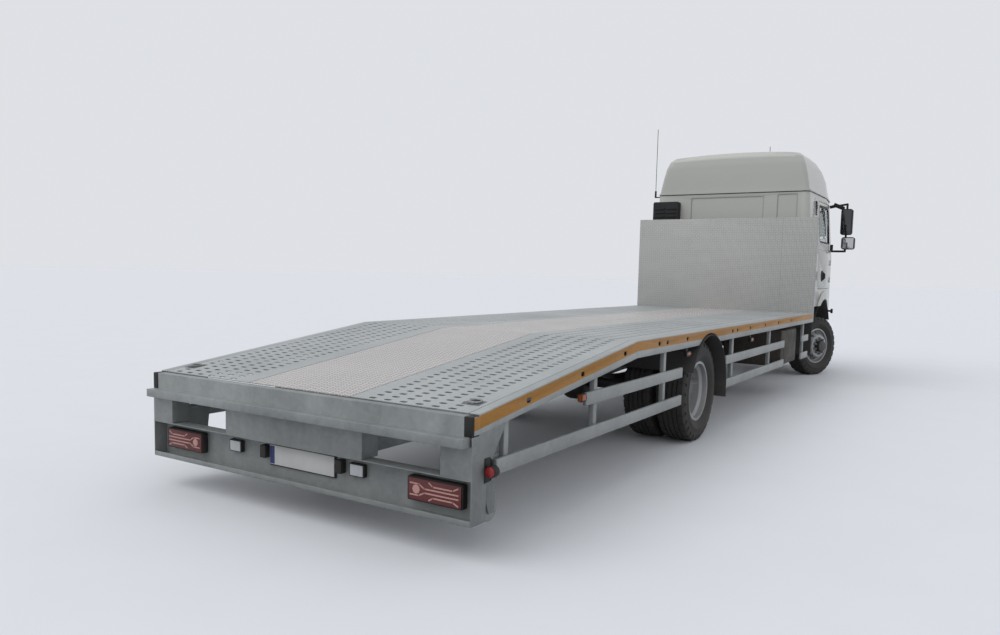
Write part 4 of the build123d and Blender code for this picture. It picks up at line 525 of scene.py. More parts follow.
def lathe(centre, rows, steps, side=1, axis="X"):
    """Turned form about an axis through a centre, from rows of radius and offset outwards."""
    turn, step = {"X": ((0, pi / 2, 0), Vector((side, 0, 0))), "Y": ((pi / 2, 0, 0), Vector((0, side, 0))),
                  "Z": ((0, 0, 0), Vector((0, 0, side)))}[axis]
    middle = Vector(centre)
    radius, offset = rows[0]
    bpy.ops.mesh.primitive_circle_add(vertices=steps, radius=radius, location=middle + step * offset,
                                      rotation=turn)
    piece = bpy.context.object
    bpy.ops.object.transform_apply()
    mode("EDIT")
    bpy.ops.mesh.select_all(action="SELECT")
    for new_radius, new_offset in rows[1:]:
        shift = step * (new_offset - offset)
        bpy.ops.mesh.extrude_edges_move(TRANSFORM_OT_translate={"value": shift})
        bpy.ops.transform.resize(value=[new_radius / radius] * 3, center_override=middle + step * new_offset)
        radius, offset = new_radius, new_offset
    weld(0.00005)
    bpy.ops.mesh.normals_make_consistent(inside=False)
    mode("OBJECT")
    return piece


def tyre_rows():
    """Rows of a tyre's outline, from one bead over the tread to the other and back inside."""
    outer = [(BEAD, 0.095), (BEAD + 0.015, 0.1)]
    outer += [(BEAD + up, TYRE_HALF - inwards) for up, inwards in WALL]
    outer += [(TYRE_TOP - deep, TYRE_HALF - inwards) for deep, inwards in SHOULDER]
    outer += [(TYRE_TOP - deep, groove + way) for groove in (0.062, 0.022)
              for deep, way in ((0.0, 0.006), (0.011, 0.004), (0.011, -0.004), (0.0, -0.006))]
    inner = [(BEAD - 0.004, -0.09), (BEAD - 0.004, 0.09), (BEAD, 0.095)]
    return outer + [(r, -w) for r, w in reversed(outer)] + inner


def make_tyre(x, y):
    """One tyre with its grooves and shoulder blocks."""
    piece = lathe((x, y, AXLE_Z), tyre_rows(), TYRE_STEPS)
    mode("EDIT")

    def in_gap(face):
        """True on the shoulder faces that lie between two blocks."""
        arm = face.calc_center_median() - Vector((x, y, AXLE_Z))
        number = int((atan2(arm.z, arm.y) + pi) / (2 * pi) * TYRE_STEPS)
        return number % BLOCK_STEPS == 0 and arm.yz.length > SHOULDER_LOW and abs(arm.x) > SHOULDER_IN

    pick(piece, in_gap)
    bpy.ops.mesh.inset(thickness=0.0015, use_individual=False, use_even_offset=True)
    bpy.ops.transform.shrink_fatten(value=-0.007)
    mode("OBJECT")
    crisp(38)
    return piece


def steered(piece, side):
    """Turn a front wheel's piece about its king pin, to where the wheels stand at rest."""
    pin = Matrix.Translation((side * KING_PIN_X, FRONT_AXLE_Y, 0))
    piece.data.transform(pin @ Matrix.Rotation(STEER, 4, "Z") @ pin.inverted())
    return piece


for name, side in SIDES:
    twins = joined([make_tyre(side * x, REAR_AXLE_Y) for x in REAR_TYRE_XS])
    front = steered(make_tyre(side * FRONT_TYRE_X, FRONT_AXLE_Y), side)
    for piece, source in ((twins, f"tyres_rear_{name}"), (front, f"tyre_front_{name}")):
        settle(piece, f"{source}_finish", tyre_rubber, body_of_node[source], "tyre_rubber", source)

# Wheels: pressed steel discs and rims in silver paint, darker near the axis, with a ring of nuts round each
# hub.
# The rims are copies of their solids. Each nut is turned with six sides, from its collar to its stud's end.
NUTS, NUT_CIRCLE, NUT_R, NUT_HIGH = 10, 0.112, 0.0165, 0.03
HUB_R, DISC_OUT = 0.093, 0.142
COLLAR = ((NUT_R + 0.005, 0), (NUT_R + 0.005, 0.005), (NUT_R, 0.006), (NUT_R, NUT_HIGH - 0.003),
          (NUT_R - 0.003, NUT_HIGH), (0.009, NUT_HIGH), (0.009, NUT_HIGH + 0.01), (0.0005, NUT_HIGH + 0.012))
wheel_silver = surface("wheel_silver", (0.5, 0.51, 0.52), (0.33, 0.335, 0.335), (0.32, 0.5), metallic=0.35,
                       scale=4, runs=0.1, bump=0.08, dirt=0.35)
nut_steel = surface("nut_steel", (0.35, 0.35, 0.35), (0.2, 0.19, 0.18), (0.35, 0.6), metallic=0.8, scale=20,
                    spangle=0.1, top=1.0)


def darkened_hub(name, centre, axis):
    """Copy of the wheel paint that is painted darker near the wheel's axis."""
    made = wheel_silver.copy()
    made.name = name
    arm = node("VectorMath", {0: placed(made)[0], 1: centre}, operation="SUBTRACT")[0]
    swept = node("VectorMath", {0: arm, 1: axis}, operation="CROSS_PRODUCT")[0]
    away = node("VectorMath", {0: swept}, operation="LENGTH")["Value"]
    # the paint is darkened within the hub's radius
    over(made, ranged(away, HUB_R, HUB_R + 0.012, 0.9, 0.0), (0.035, 0.032, 0.03))
    return made


def nut_ring(x, y, side):
    """Ring of wheel nuts that stand outwards from a disc's face at x."""
    nuts = []
    for n in range(NUTS):
        turn = 2 * pi * (n + 0.5) / NUTS
        spot = (side * x, y + NUT_CIRCLE * cos(turn), AXLE_Z + NUT_CIRCLE * sin(turn))
        nuts.append(lathe(spot, COLLAR, 6, side))
    return joined(nuts)


rear_wheel = darkened_hub("wheel_silver_rear", (0, REAR_AXLE_Y, AXLE_Z), (1, 0, 0))
for name, side in SIDES:
    front_wheel = darkened_hub(f"wheel_silver_{name}", (side * KING_PIN_X, FRONT_AXLE_Y, AXLE_Z),
                           (cos(STEER), sin(STEER), 0))
    refined(f"rims_rear_{name}", rear_wheel, "wheel_silver", edge=0.0015)
    refined(f"rim_front_{name}", front_wheel, "wheel_silver", edge=0.0015)
    ring = nut_ring(REAR_TYRE_XS[0] - DISC_OUT, REAR_AXLE_Y, side)
    settle(ring, f"nuts_rear_{name}", nut_steel, f"wheels_rear_{name}", "wheel_silver")
    ring = steered(nut_ring(FRONT_TYRE_X + DISC_OUT, FRONT_AXLE_Y, side), side)
    settle(ring, f"nuts_front_{name}", nut_steel, f"wheel_front_{name}", "wheel_silver")

# Mudguards and flaps: black plastic arches over the rear wheels and rubber sheets behind the front ones.
# They are copies of their solids with soft edges, dusty towards the road.
guard_plastic = surface("guard_plastic", (0.02, 0.02, 0.021), (0.04, 0.039, 0.037), (0.5, 0.7), bump=0.3,
                        dirt=0.5, top=1.0)
refined("rear_mudguards", guard_plastic, "black_plastic", edge=0.0015)
refined("front_flaps", guard_plastic, "black_rubber", edge=0.0015)

# Skid rollers under the tail: turned steel drums, galvanised like the tubes of the frame.
# They are copies of their solids with well rounded rims.
for name, _ in SIDES:
    refined(f"skid_roller_{name}", zinc_tube, "galvanised", edge=0.006)

# Fuel tank on the left, satin aluminium with two straps and a black cap, and silencer box on the right, in a
# stained shield whose holes are painted on. Both hang on the rails and are copies of their solids.
aluminium = surface("dull_aluminium", (0.5, 0.51, 0.52), (0.38, 0.385, 0.39), (0.32, 0.5), metallic=0.7,
                    bump=0.08, dirt=0.5)
refined("fuel_tank", aluminium, "aluminium", edge=0.003)
BOX_Y0, BOX_Y1, STRAP_WIDE = -1.955, -1.155, 0.045
BOX_IN, BOX_OUT, BOX_LOW, BOX_TOP = 0.52, 1.2, 0.39, 0.82
STRAP_X, STRAP_Z = (BOX_IN - 0.003, BOX_OUT + 0.003), (BOX_LOW - 0.003, BOX_TOP + 0.003)
straps = [cuboid(STRAP_X, (y, y + STRAP_WIDE), STRAP_Z, corner=0.092)
          for y in (BOX_Y0 + 0.13, BOX_Y1 - 0.13 - STRAP_WIDE)]
settle(joined(straps), "tank_straps", black, "chassis", "black_rubber")
cap = lathe((1.02, BOX_Y0 + 0.33, BOX_TOP - 0.002), ((0.046, 0), (0.046, 0.022), (0.05, 0.024), (0.05, 0.042),
                                                     (0.044, 0.048), (0.001, 0.05)), 24, axis="Z")
settle(cap, "tank_cap", black, "chassis", "black_plastic")
shield = surface("heat_shield", (0.13, 0.115, 0.095), (0.05, 0.042, 0.034), (0.5, 0.75), metallic=0.5,
                 scale=5, runs=0.5, spangle=0.25, bump=0.2, dirt=0.6)
holes = node("TexVoronoi", {"Vector": placed(shield)[0], "Scale": 70.0, "Randomness": 0.0})["Distance"]
over(shield, ranged(holes, 0.3, 0.36, 1.0, 0.0), (0.01, 0.01, 0.01))
refined("exhaust_box", shield, "aluminium", edge=0.003)

# Cab: pressed steel in off-white gloss paint. Doors and arch covers are their own panels, with real gaps
# between them. All are copies of their solids. Painted on are a dark seal line under the roof's lip, partly
# painted shadow, and painted shade along the belt crease and round the rear wall's pressed panels.
cab_paint = surface("cab_paint", (0.51, 0.515, 0.475), (0.475, 0.48, 0.44), (0.27, 0.33), scale=0.8,
                    runs=0.12, spangle=0.0, bump=0.02, dirt=0.35, top=1.6)
sockets(cab_paint)["Coat Weight"].default_value = 0.35
x, y, z = placed(cab_paint)[1]
SEAL_Z, BELT_CREASE_Z = 2.613, 1.85
SIDE_X, CREASE_FRONT_Y, BACK_Y = 1.0, -4.7, -2.95
# dark line under the roof's lip: partly a real seal and partly painted shadow of the lip
seal_and_lip_shadow = maths("COMPARE", z, SEAL_Z, 0.006)
# painted shade: a thin dark line along the belt crease on the cab's sides
belt_crease_shade = maths("COMPARE", z, BELT_CREASE_Z, 0.002)
on_side = maths("MULTIPLY", maths("GREATER_THAN", maths("ABSOLUTE", x), SIDE_X),
                maths("GREATER_THAN", y, CREASE_FRONT_Y))
# middle x, half width, top and half thickness of the painted shade along the creases round the rear wall's
# pressed panels
PRESSINGS = ((0.045, 0.515, 2.56, 0.004), (-0.79, 0.13, 2.58, 0.004))
# painted shade: the rear wall is darkened along the creases round its pressed panels
painted_crease_shade = 0.0
for middle, half, top, thin in PRESSINGS:
    out_x = maths("SUBTRACT", maths("ABSOLUTE", maths("SUBTRACT", x, middle)), half)
    reach = maths("MAXIMUM", out_x, maths("SUBTRACT", z, top))
    painted_crease_shade = maths("ADD", ranged(maths("ABSOLUTE", reach), thin, 3 * thin, 0.32, 0.0), painted_crease_shade)
painted_crease_shade = maths("MULTIPLY", painted_crease_shade, maths("GREATER_THAN", y, BACK_Y))
over(cab_paint, painted_crease_shade, (0.12, 0.12, 0.11))
# near black for the seal line with its painted shadow, and for the painted shade of the belt crease
over(cab_paint, maths("MAXIMUM", seal_and_lip_shadow, maths("MULTIPLY", belt_crease_shade, on_side)), (0.015, 0.015, 0.015))
for source in ("cab_shell", "door_left", "door_right", "arch_covers"):
    refined(source, cab_paint, "cab_paint", angle=28)

# Roof: one moulded plastic shell on the gutter, drawn in by easy steps to a rounded crown, painted with the
# cab. A ring is extruded from the gutter up through each outline, then subdivided and thickened.
CAB_FRONT_Y, CAB_DEEP = -5.405, 2.5
GUTTER_Z, GUTTER_RAKE, GUTTER_LEAN = 2.62, 0.19, 0.05
ARC_STEPS, STRAIGHT_STEPS = 6, (7, 4, 2, 9, 2, 4, 7, 9)
CAMBER_HALF = 0.95
# half width, distance behind the front and radius of the corners on one side, from the rear to the front
GUTTER_PLAN = ((1.12, 2.5, 0.07), (1.12, 1.15, 2.4), (1.035, 0.33, 0.38), (0.8, 0.02, 0.24))
# height at the sides, rise to the middle and corners of each outline
ROOF_PLANS = (
    (2.88, 0.0, ((1.018, 2.496, 0.08), (1.018, 1.08, 2.4), (0.93, 0.56, 0.3), (0.68, 0.4, 0.26))),
    (3.01, 0.01, ((0.985, 2.49, 0.09), (0.985, 1.18, 2.2), (0.89, 0.73, 0.26), (0.65, 0.59, 0.24))),
    (3.1, 0.025, ((0.945, 2.476, 0.1), (0.945, 1.4, 2.0), (0.84, 0.96, 0.22), (0.6, 0.83, 0.22))),
    (3.142, 0.038, ((0.898, 2.44, 0.11), (0.898, 1.52, 1.8), (0.79, 1.12, 0.2), (0.56, 1.0, 0.2))),
    (3.155, 0.042, ((0.82, 2.37, 0.11), (0.82, 1.64, 1.6), (0.71, 1.27, 0.18), (0.5, 1.16, 0.18))),
)


def outline(rows, rake=0.0, lean=0.0, out=0.0):
    """Points round the cab at one height, its corners arcs, all moved outwards by out."""
    corners = [(Vector((x - lean, CAB_FRONT_Y + e + rake * (1 - e / CAB_DEEP))), r) for x, e, r in rows]
    corners += [(Vector((-place.x, place.y)), r) for place, r in reversed(corners)]
    arcs = []
    for n, (corner, radius) in enumerate(corners):
        before = (corners[n - 1][0] - corner).normalized()
        after = (corners[(n + 1) % len(corners)][0] - corner).normalized()
        half = before.angle(after) / 2
        start, end = corner + before * radius / tan(half), corner + after * radius / tan(half)
        arc = []
        for step in range(ARC_STEPS + 1):
            t = step / ARC_STEPS
            shares = ((1 - t) ** 2, 2 * sin(half) * t * (1 - t), t * t)
            arc.append((shares[0] * start + shares[1] * corner + shares[2] * end) / sum(shares))
        arcs.append(arc)
    ring = []
    for n, arc in enumerate(arcs):
        far, steps = arcs[(n + 1) % len(arcs)][0], STRAIGHT_STEPS[n]
        ring += arc + [arc[-1].lerp(far, (step + 1) / (steps + 1)) for step in range(steps)]
    moved = []
    for n, point in enumerate(ring):
        along = (ring[(n + 1) % len(ring)] - ring[n - 1]).normalized()
        moved.append(point + out * Vector((-along.y, along.x)))
    return moved


# outline, height, rise to the middle and whether its edge is sharp
rings = [(outline(GUTTER_PLAN, GUTTER_RAKE, GUTTER_LEAN, out), GUTTER_Z + up, 0.0, True)
         for out, up in ((0.012, 0.0), (0.012, 0.018), (-0.003, 0.018))]
rings += [(outline(rows), z, rise, False) for z, rise, rows in ROOF_PLANS]
top, top_z, top_rise, _ = rings[-1]
crown = sum(top, Vector((0, 0))) / len(top)
rings += [([crown + (point - crown) * part for point in top], top_z + up, top_rise, False)
          for part, up in ((0.7, 0.004), (0.35, 0.006))]
bpy.ops.mesh.primitive_circle_add(vertices=len(top))
roof = bpy.context.object
mode("EDIT")
form = bmesh.from_edit_mesh(roof.data)
column = form.verts.layers.int.new("column")
for n, corner in enumerate(form.verts):
    corner[column] = n
bmesh.update_edit_mesh(roof.data)
for n, (ring, z, rise, sharp) in enumerate(rings):
    if n:
        bpy.ops.mesh.extrude_edges_move()
    form = bmesh.from_edit_mesh(roof.data)
    column = form.verts.layers.int["column"]
    for corner in form.verts:
        if corner.select:
            x, y = ring[corner[column]]
            corner.co = (x, y, z + rise * (1 - (x / CAMBER_HALF) ** 2))
    bmesh.update_edit_mesh(roof.data)
    if sharp:
        bpy.ops.transform.edge_crease(value=1.0)
bpy.ops.mesh.extrude_edges_move()
bpy.ops.mesh.merge(type="CENTER")
bpy.ops.mesh.select_all(action="SELECT")
bpy.ops.mesh.normals_make_consistent(inside=False)
mode("OBJECT")
shaped(roof, "SUBSURF", levels=2, render_levels=2)
shaped(roof, "SOLIDIFY", thickness=0.01, offset=-1)
crisp()
settle(roof, "cab_roof_finish", cab_paint, "cab", "cab_paint", "cab_roof")

# Windows: tinted safety glass set back in its openings, seen through to the seats.
# The panes are their solids with a clear finish that shades the view a little.
glass, shader = fresh("window_glass")
for label, value in (("Roughness", 0.008), ("IOR", 1.5), ("Transmission Weight", 1.0)):
    shader[label].default_value = value
smear = noise(placed(glass)[0], 3.0, 5.0)
link(mix(smear, (0.88, 0.92, 0.91), (0.83, 0.87, 0.86)), shader["Base Color"])
for source in ("windscreen", "door_glass_left", "door_glass_right"):
    refined(source, glass, "glass", edge=0)

# Rubber surrounds of the windows: a black band round each pane that fills the step up to the panel.
# Each is the pane's outer face, narrowed to its border and given its thickness.
CAB_MIDDLE, OUTER_SHARE = Vector((0, -4.1, 0)), 0.6
for source, width, thick in (("windscreen", 0.045, 0.006), ("door_glass_left", 0.024, 0.014),
                             ("door_glass_right", 0.024, 0.014)):
    only(bpy.data.objects[f"{source}_finish"])
    bpy.ops.object.duplicate()
    piece = bpy.context.object
    del piece["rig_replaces"]
    mode("EDIT")
    for face in bmesh.from_edit_mesh(piece.data).faces:
        outwards = face.calc_center_median() - CAB_MIDDLE
        outwards.z = 0
        face.select_set(face.normal.dot(outwards) < OUTER_SHARE * outwards.length)
    bmesh.update_edit_mesh(piece.data)
    bpy.ops.mesh.delete(type="FACE")
    bpy.ops.mesh.select_all(action="SELECT")
    bpy.ops.mesh.inset(thickness=width, use_boundary=True, use_even_offset=False)
    bpy.ops.mesh.delete(type="FACE")
    mode("OBJECT")
    shaped(piece, "SOLIDIFY", thickness=thick, offset=1)
    crisp()
    settle(piece, f"{source}_surround", black, body_of_node[source], "black_rubber")

# Doors' handles and window feet, the louvred strips on the rear pillars and the corner markers: black plastic
# and rubber. Each is a bevelled cube or a few of them, set on the panel that carries it.
HANDLE_Y, HANDLE_Z = -3.855, 1.473
PILLAR_Y, PILLAR_Z = -3.385, (2.31, 2.52)
LOUVRES, LOUVRE_PITCH, LOUVRE_HIGH = 7, 0.026, 0.009
CORNER_Y, CORNER_Z = -4.655, 0.94
for name, side in SIDES:
    cup = cuboid((1.109, 1.121), about(HANDLE_Y, 0.0645), about(HANDLE_Z, 0.0825), 0.002, 0.05, 0, side)
    grip = cuboid((1.119, 1.127), about(HANDLE_Y, 0.019), about(HANDLE_Z, 0.07), 0.003, 0.012, 0, side)
    settle(joined([cup, grip]), f"handle_{name}", black, f"door_{name}", "black_plastic")
    bar = cuboid((1.08, 1.1185), (-4.64, -4.6), (1.87, 1.96), 0.003, side=side)
    settle(bar, f"window_foot_{name}", black, f"door_{name}", "black_rubber")
    strip = [cuboid((1.06, 1.088), about(PILLAR_Y, 0.03), PILLAR_Z, 0.003, 0.01, 0, side)]
    for n in range(LOUVRES):
        z = PILLAR_Z[0] + 0.02 + LOUVRE_PITCH * n
        fin_z = (z, z + LOUVRE_HIGH)
        strip.append(cuboid((1.08, 1.096), about(PILLAR_Y, 0.024), fin_z, 0.002, side=side))
    settle(joined(strip), f"pillar_louvre_{name}", black, "cab", "black_plastic")
    stem = cuboid((1.095, 1.14), about(CORNER_Y, 0.012), about(CORNER_Z, 0.014), 0.003, side=side)
    knob = cuboid((1.135, 1.165), about(CORNER_Y, 0.02), about(CORNER_Z, 0.035), 0.006, side=side)
    settle(joined([stem, knob]), f"corner_marker_{name}", black, "cab", "black_plastic")

# Grille, bumper, mirrors, air intake and aerials: dark moulded plastic with a fine grain.
# They are copies of their solids with soft edges.
grey_plastic = surface("grey_plastic", (0.1, 0.102, 0.105), (0.14, 0.142, 0.145), (0.45, 0.65), scale=4,
                       bump=0.25, dirt=0.4)
for source in ("grille", "mirrors", "air_intake", "aerials"):
    refined(source, black, "black_plastic", edge=0.003)
refined("bumper", grey_plastic, "grey_plastic", edge=0.004)
refined("arch_liners", guard_plastic, "black_plastic", edge=0.0015)

# Mirror glasses: silvered panes on the rear faces of the four mirror heads, each in its dark housing.
# They are thin cubes with rounded corners. Their brightness is a painted reflection, dark on the upper panes
# and bright on the lower ones.
MIRROR_Y = (-4.912, -4.9085)
# name, brightness of the painted reflection, middle x, half width, foot and top
for label, tone, x, half, low, high in (("upper", 0.09, 1.244, 0.071, 2.139, 2.511),
                                        ("lower", 0.55, 1.28, 0.083, 1.914, 2.076)):
    # painted reflection: one silvered glass, made dark on the upper panes and bright on the lower ones
    shade = (0.85 * tone, 0.86 * tone, 0.9 * tone)
    silver = surface(f"mirror_painted_reflection_{label}", (tone, tone, 1.03 * tone), shade, (0.02, 0.06), metallic=1.0,
                     scale=2, runs=0.0, spangle=0.0, bump=0.0, dirt=0)
    panes = [cuboid(about(x, half), MIRROR_Y, (low, high), 0.0004, 0.024, side=side) for _, side in SIDES]
    settle(joined(panes), f"mirror_panes_{label}", silver, "cab", "glass")

# Roots of the mirror arms: moulded black knuckles that slope down from the roof's edge to the arm.
# Each is a rounded box, tilted about the cab's length.
ROOT_X, ROOT_Z, ROOT_SLOPE = 1.12, 2.565, radians(24)
for name, side in SIDES:
    root = cuboid((-0.085, 0.085), (-4.995, -4.925), (-0.03, 0.03), 0.008, 0.02, 0)
    root.data.transform(Matrix.Translation((side * ROOT_X, 0, ROOT_Z))
                        @ Matrix.Rotation(side * ROOT_SLOPE, 4, "Y"))
    settle(root, f"mirror_root_{name}", black, "cab", "black_plastic")

# Wipers: two black arms parked along the foot of the windscreen, with their blades.
# Arms and blades are slim cubes, and each arm turns on a round boss.
BOSS = ((0.001, 0.02), (0.016, 0.018), (0.019, 0.012), (0.019, 0))
wipers = []
for foot_x, tip_x in ((0.62, 0.02), (-0.1, -0.7)):
    wipers.append(cuboid((tip_x, foot_x), (-5.392, -5.38), (1.835, 1.851), 0.003))
    wipers.append(cuboid((tip_x - 0.06, foot_x - 0.1), (-5.386, -5.376), (1.853, 1.86), 0.002))
    wipers.append(lathe((foot_x, -5.372, 1.843), BOSS, 16, side=-1, axis="Y"))
settle(joined(wipers), "wipers", black, "cab", "black_rubber")

# Louvres on the intake's rear face: level fins in two columns, of the same moulded plastic as the intake.
# Each fin is a slim bevelled cube, and they stand one above the other at an even pitch.
FINS, FIN_PITCH, FIN_COLUMNS = 9, 0.056, ((0.745, 0.9), (0.92, 1.075))
FIN_Y, FIN_FOOT_Z, FIN_HIGH = (-2.787, -2.772), 1.95, 0.022
fins = []
for n in range(FINS):
    z = FIN_FOOT_Z + FIN_PITCH * n
    fins += [cuboid(column, FIN_Y, (z, z + FIN_HIGH), 0.003) for column in FIN_COLUMNS]
settle(joined(fins), "intake_fins", black, "cab", "black_plastic")

# Lamps: moulded lenses on dark housings, red with pale light guides at the tail, clear beside the plate,
# amber along the sides and clear at the front. Housings are copies of their solids, lenses bevelled cubes or,
# on the marker lamps, turned domes.


def lens(name, light, dark, rough=(0.12, 0.25), bump=0.05, dirt=0.2, top=0.7):
    """Smooth moulded finish without a metal's spangle."""
    return surface(name, light, dark, rough, scale=6, spangle=0.0, bump=bump, dirt=dirt, top=top)


red_lens = lens("red_lens", (0.16, 0.012, 0.014), (0.1, 0.008, 0.009))
clear_lens = lens("clear_lens", (0.7, 0.72, 0.74), (0.55, 0.57, 0.6), (0.08, 0.2))
amber_lens = lens("amber_lens", (0.45, 0.1, 0.012), (0.3, 0.055, 0.008), top=0.9)
marker_red = lens("marker_red", (0.4, 0.014, 0.016), (0.28, 0.01, 0.012), dirt=0.1)
light_guide = lens("light_guide", (0.66, 0.37, 0.33), (0.56, 0.28, 0.25), (0.2, 0.3), 0.02, 0.1)
refined("tail_lamps", black, "black_plastic", edge=0.003)
refined("clear_lamps", black, "black_plastic")
refined("marker_lamps", black, "black_rubber")
refined("side_lamps", black, "amber_lens")
SIDE_LAMP_YS, SIDE_LAMP_Z, ARM_LAMP_Z = (2.235, 0.305), 0.801, (0.659, 0.701)
# ends in x, y and z, radius of the edges and of the corners, and the axis along which the corners run
LENSES = (
    *(((1.236, 1.245), about(y, 0.044), about(SIDE_LAMP_Z, 0.016), 0.003, 0.014, 0) for y in SIDE_LAMP_YS),
    ((1.2205, 1.2465), (4.178, 4.184), ARM_LAMP_Z, 0.002, 0.01, 1),
    ((1.246, 1.2525), (4.12, 4.176), ARM_LAMP_Z, 0.002, 0.01, 0),
)
lenses = [cuboid(*form, side) for form in LENSES for _, side in SIDES]
settle(joined(lenses), "side_lenses", amber_lens, "chassis", "amber_lens")
headlamp = clear_lens.copy()
headlamp.name = "headlamp_glass"
x, _, z = placed(headlamp)[1]
across = maths("ABSOLUTE", x)
bowls, rims = 0.0, 0.0
# middle x, middle z and radius of the reflector bowls
for middle_x, middle_z, radius in ((0.775, 0.61, 0.058), (0.905, 0.61, 0.05)):
    level = maths("SUBTRACT", z, middle_z)
    aside = maths("SUBTRACT", across, middle_x)
    away = maths("SQRT", maths("ADD", maths("MULTIPLY", level, level),
                                     maths("MULTIPLY", aside, aside)))
    bowls = maths("MAXIMUM", maths("LESS_THAN", away, radius), bowls)
    rims = maths("MAXIMUM", maths("COMPARE", away, 0.5 * radius, 0.06 * radius), rims)
blinker = maths("MULTIPLY", maths("COMPARE", z, 0.512, 0.014),
                maths("COMPARE", across, 0.845, 0.125))
over(headlamp, maths("SUBTRACT", 1.0, bowls), (0.05, 0.052, 0.055))
over(headlamp, rims, (0.22, 0.23, 0.24))
over(headlamp, blinker, (0.45, 0.12, 0.015))
refined("headlamps", headlamp, "clear_lens", edge=0.003)
LAMP_FACE, TAIL_LAMP_X, TAIL_LAMP_Z = 5.3, 0.995, 0.314
SMALL_FACE, CLEAR_XS, CLEAR_Z = 5.287, {"left": 0.53, "right": -0.455}, 0.34
MARKER_X, MARKER_Y, MARKER_Z = 1.287, (5.1965, 5.2405), 0.45
GUIDE_WIDE, GUIDE_Y = 0.0075, LAMP_FACE + 0.0072
LENS_Y, SMALL_LENS_Y = (LAMP_FACE - 0.002, LAMP_FACE + 0.0065), (SMALL_FACE - 0.002, SMALL_FACE + 0.004)
REFLEX = ((0.025, 0), (0.025, 0.003), (0.022, 0.0045), (0.001, 0.005))
# distance outwards from the lamp's middle and height, along each light guide
GUIDES = (
    ((-0.15, 0.03), (-0.095, 0.03), (-0.06, 0.009), (0.15, 0.009)),
    ((-0.15, -0.03), (-0.095, -0.03), (-0.06, -0.012), (0.15, -0.012)),
    ((-0.03, 0.044), (-0.006, 0.027), (0.118, 0.027), (0.15, 0.044)),
    ((-0.03, -0.046), (-0.006, -0.031), (0.118, -0.031), (0.15, -0.046)),
)
DOME = ((0.027, 0), (0.027, 0.005), (0.023, 0.011), (0.013, 0.015), (0.001, 0.016))


def guide(start, end, side):
    """One straight stretch of light guide on a tail lamp's lens."""
    first, last = (Vector((side * (TAIL_LAMP_X + x), GUIDE_Y, TAIL_LAMP_Z + z)) for x, z in (start, end))
    line = last - first
    bpy.ops.mesh.primitive_cube_add(
        size=1, location=(first + last) / 2, rotation=(0, -atan2(line.z, line.x), 0),
        scale=(line.length + 0.7 * GUIDE_WIDE, 0.0024, GUIDE_WIDE))
    bpy.ops.object.transform_apply()
    return bpy.context.object


for name, side in SIDES:
    pane = cuboid(about(TAIL_LAMP_X, 0.168), LENS_Y, about(TAIL_LAMP_Z, 0.057), 0.002, 0.014, side=side)
    settle(pane, f"tail_lens_{name}", red_lens, "chassis", "red_lens")
    lines = [guide(a, b, side) for run in GUIDES for a, b in zip(run, run[1:])]
    reflex = lathe((side * (TAIL_LAMP_X - 0.112), LAMP_FACE + 0.005, TAIL_LAMP_Z), REFLEX, 8, axis="Y")
    settle(joined([*lines, reflex]), f"light_guides_{name}", light_guide, "chassis", "clear_lens")
    pane = cuboid(about(CLEAR_XS[name], 0.047), SMALL_LENS_Y, about(CLEAR_Z, 0.03), 0.0015, 0.008)
    settle(pane, f"clear_lens_{name}", clear_lens, "chassis", "clear_lens")
    foot = cuboid((1.2495, 1.2565), (5.185, 5.24), (0.385, 0.515), 0.002, 0.012, 0, side)
    settle(foot, f"marker_foot_{name}", black, "chassis", "black_rubber")
    for tint, y, way, finish, slot in (("red", MARKER_Y[1], 1, marker_red, "red_lens"),
                                       ("clear", MARKER_Y[0], -1, clear_lens, "clear_lens")):
        dome = lathe((side * MARKER_X, y, MARKER_Z), DOME, 24, side=way, axis="Y")
        settle(dome, f"marker_{tint}_{name}", finish, "chassis", slot)

# Number plates: a blank white plate with a plain blue band at its left end, in a black holder, on the lamp
# beam and on the bumper. Holder, plate and band are thin cubes with rounded corners.
plate_white = lens("plate_white", (0.78, 0.79, 0.78), (0.7, 0.71, 0.7), (0.35, 0.5), 0.02, 0.25, 0.6)
plate_blue = lens("plate_blue", (0.012, 0.03, 0.2), (0.012, 0.025, 0.15), (0.35, 0.5), 0.02, 0.25, 0.6)
PLATE_PARTS = {"holder": (black, "black_plastic"), "plate": (plate_white, "cab_paint"),
               "band": (plate_blue, "black_plastic")}
# name, part, ends in x, y and z, radius of the edges and of the corners
for name, part, *form in (
        ("plate_holder", "holder", (-0.285, 0.249), (5.259, 5.272), (0.265, 0.393), 0.002, 0.01),
        ("number_plate", "plate", (-0.278, 0.242), (5.271, 5.2745), (0.272, 0.386), 0.0006, 0.009),
        ("plate_band", "band", (0.198, 0.238), (5.2735, 5.2752), (0.276, 0.382), 0.0003, 0.005),
        ("front_plate_holder", "holder", (-0.267, 0.267), (-5.406, -5.403), (0.493, 0.621), 0.0005, 0.01),
        ("front_plate", "plate", (-0.26, 0.26), (-5.407, -5.405), (0.5, 0.614), 0.0004, 0.009),
        ("front_plate_band", "band", (-0.256, -0.216), (-5.4076, -5.406), (0.504, 0.61), 0.0003, 0.005)):
    finish, slot = PLATE_PARTS[part]
    settle(cuboid(*form), name, finish, "chassis", slot)

# Inside the cab: seats and bunk upholstered in dark woven cloth over foam, on grey plastic bases.
# Each pad is a rounded box, remeshed and swollen by cloth pressure. All but the headrests have sewn channels.
cloth = surface("seat_cloth", (0.05, 0.055, 0.07), (0.085, 0.09, 0.105), (0.8, 0.95), scale=6, spangle=0.3,
                bump=0.3, dirt=0)
sockets(cloth)["Sheen Weight"].default_value = 0.3
weave = [node("TexWave", {"Vector": placed(cloth)[0], "Scale": 160.0}, bands_direction=way)["Fac"]
         for way in ("X", "DIAGONAL")]
emboss(cloth, maths("MULTIPLY", *weave), 0.5, 0.001)
SWELL_START, SWELL_CAP, PAD_FRAMES = 0.012, 0.016, 20
CHANNEL_HALF, CHANNEL_DEEP = 0.012, 0.006


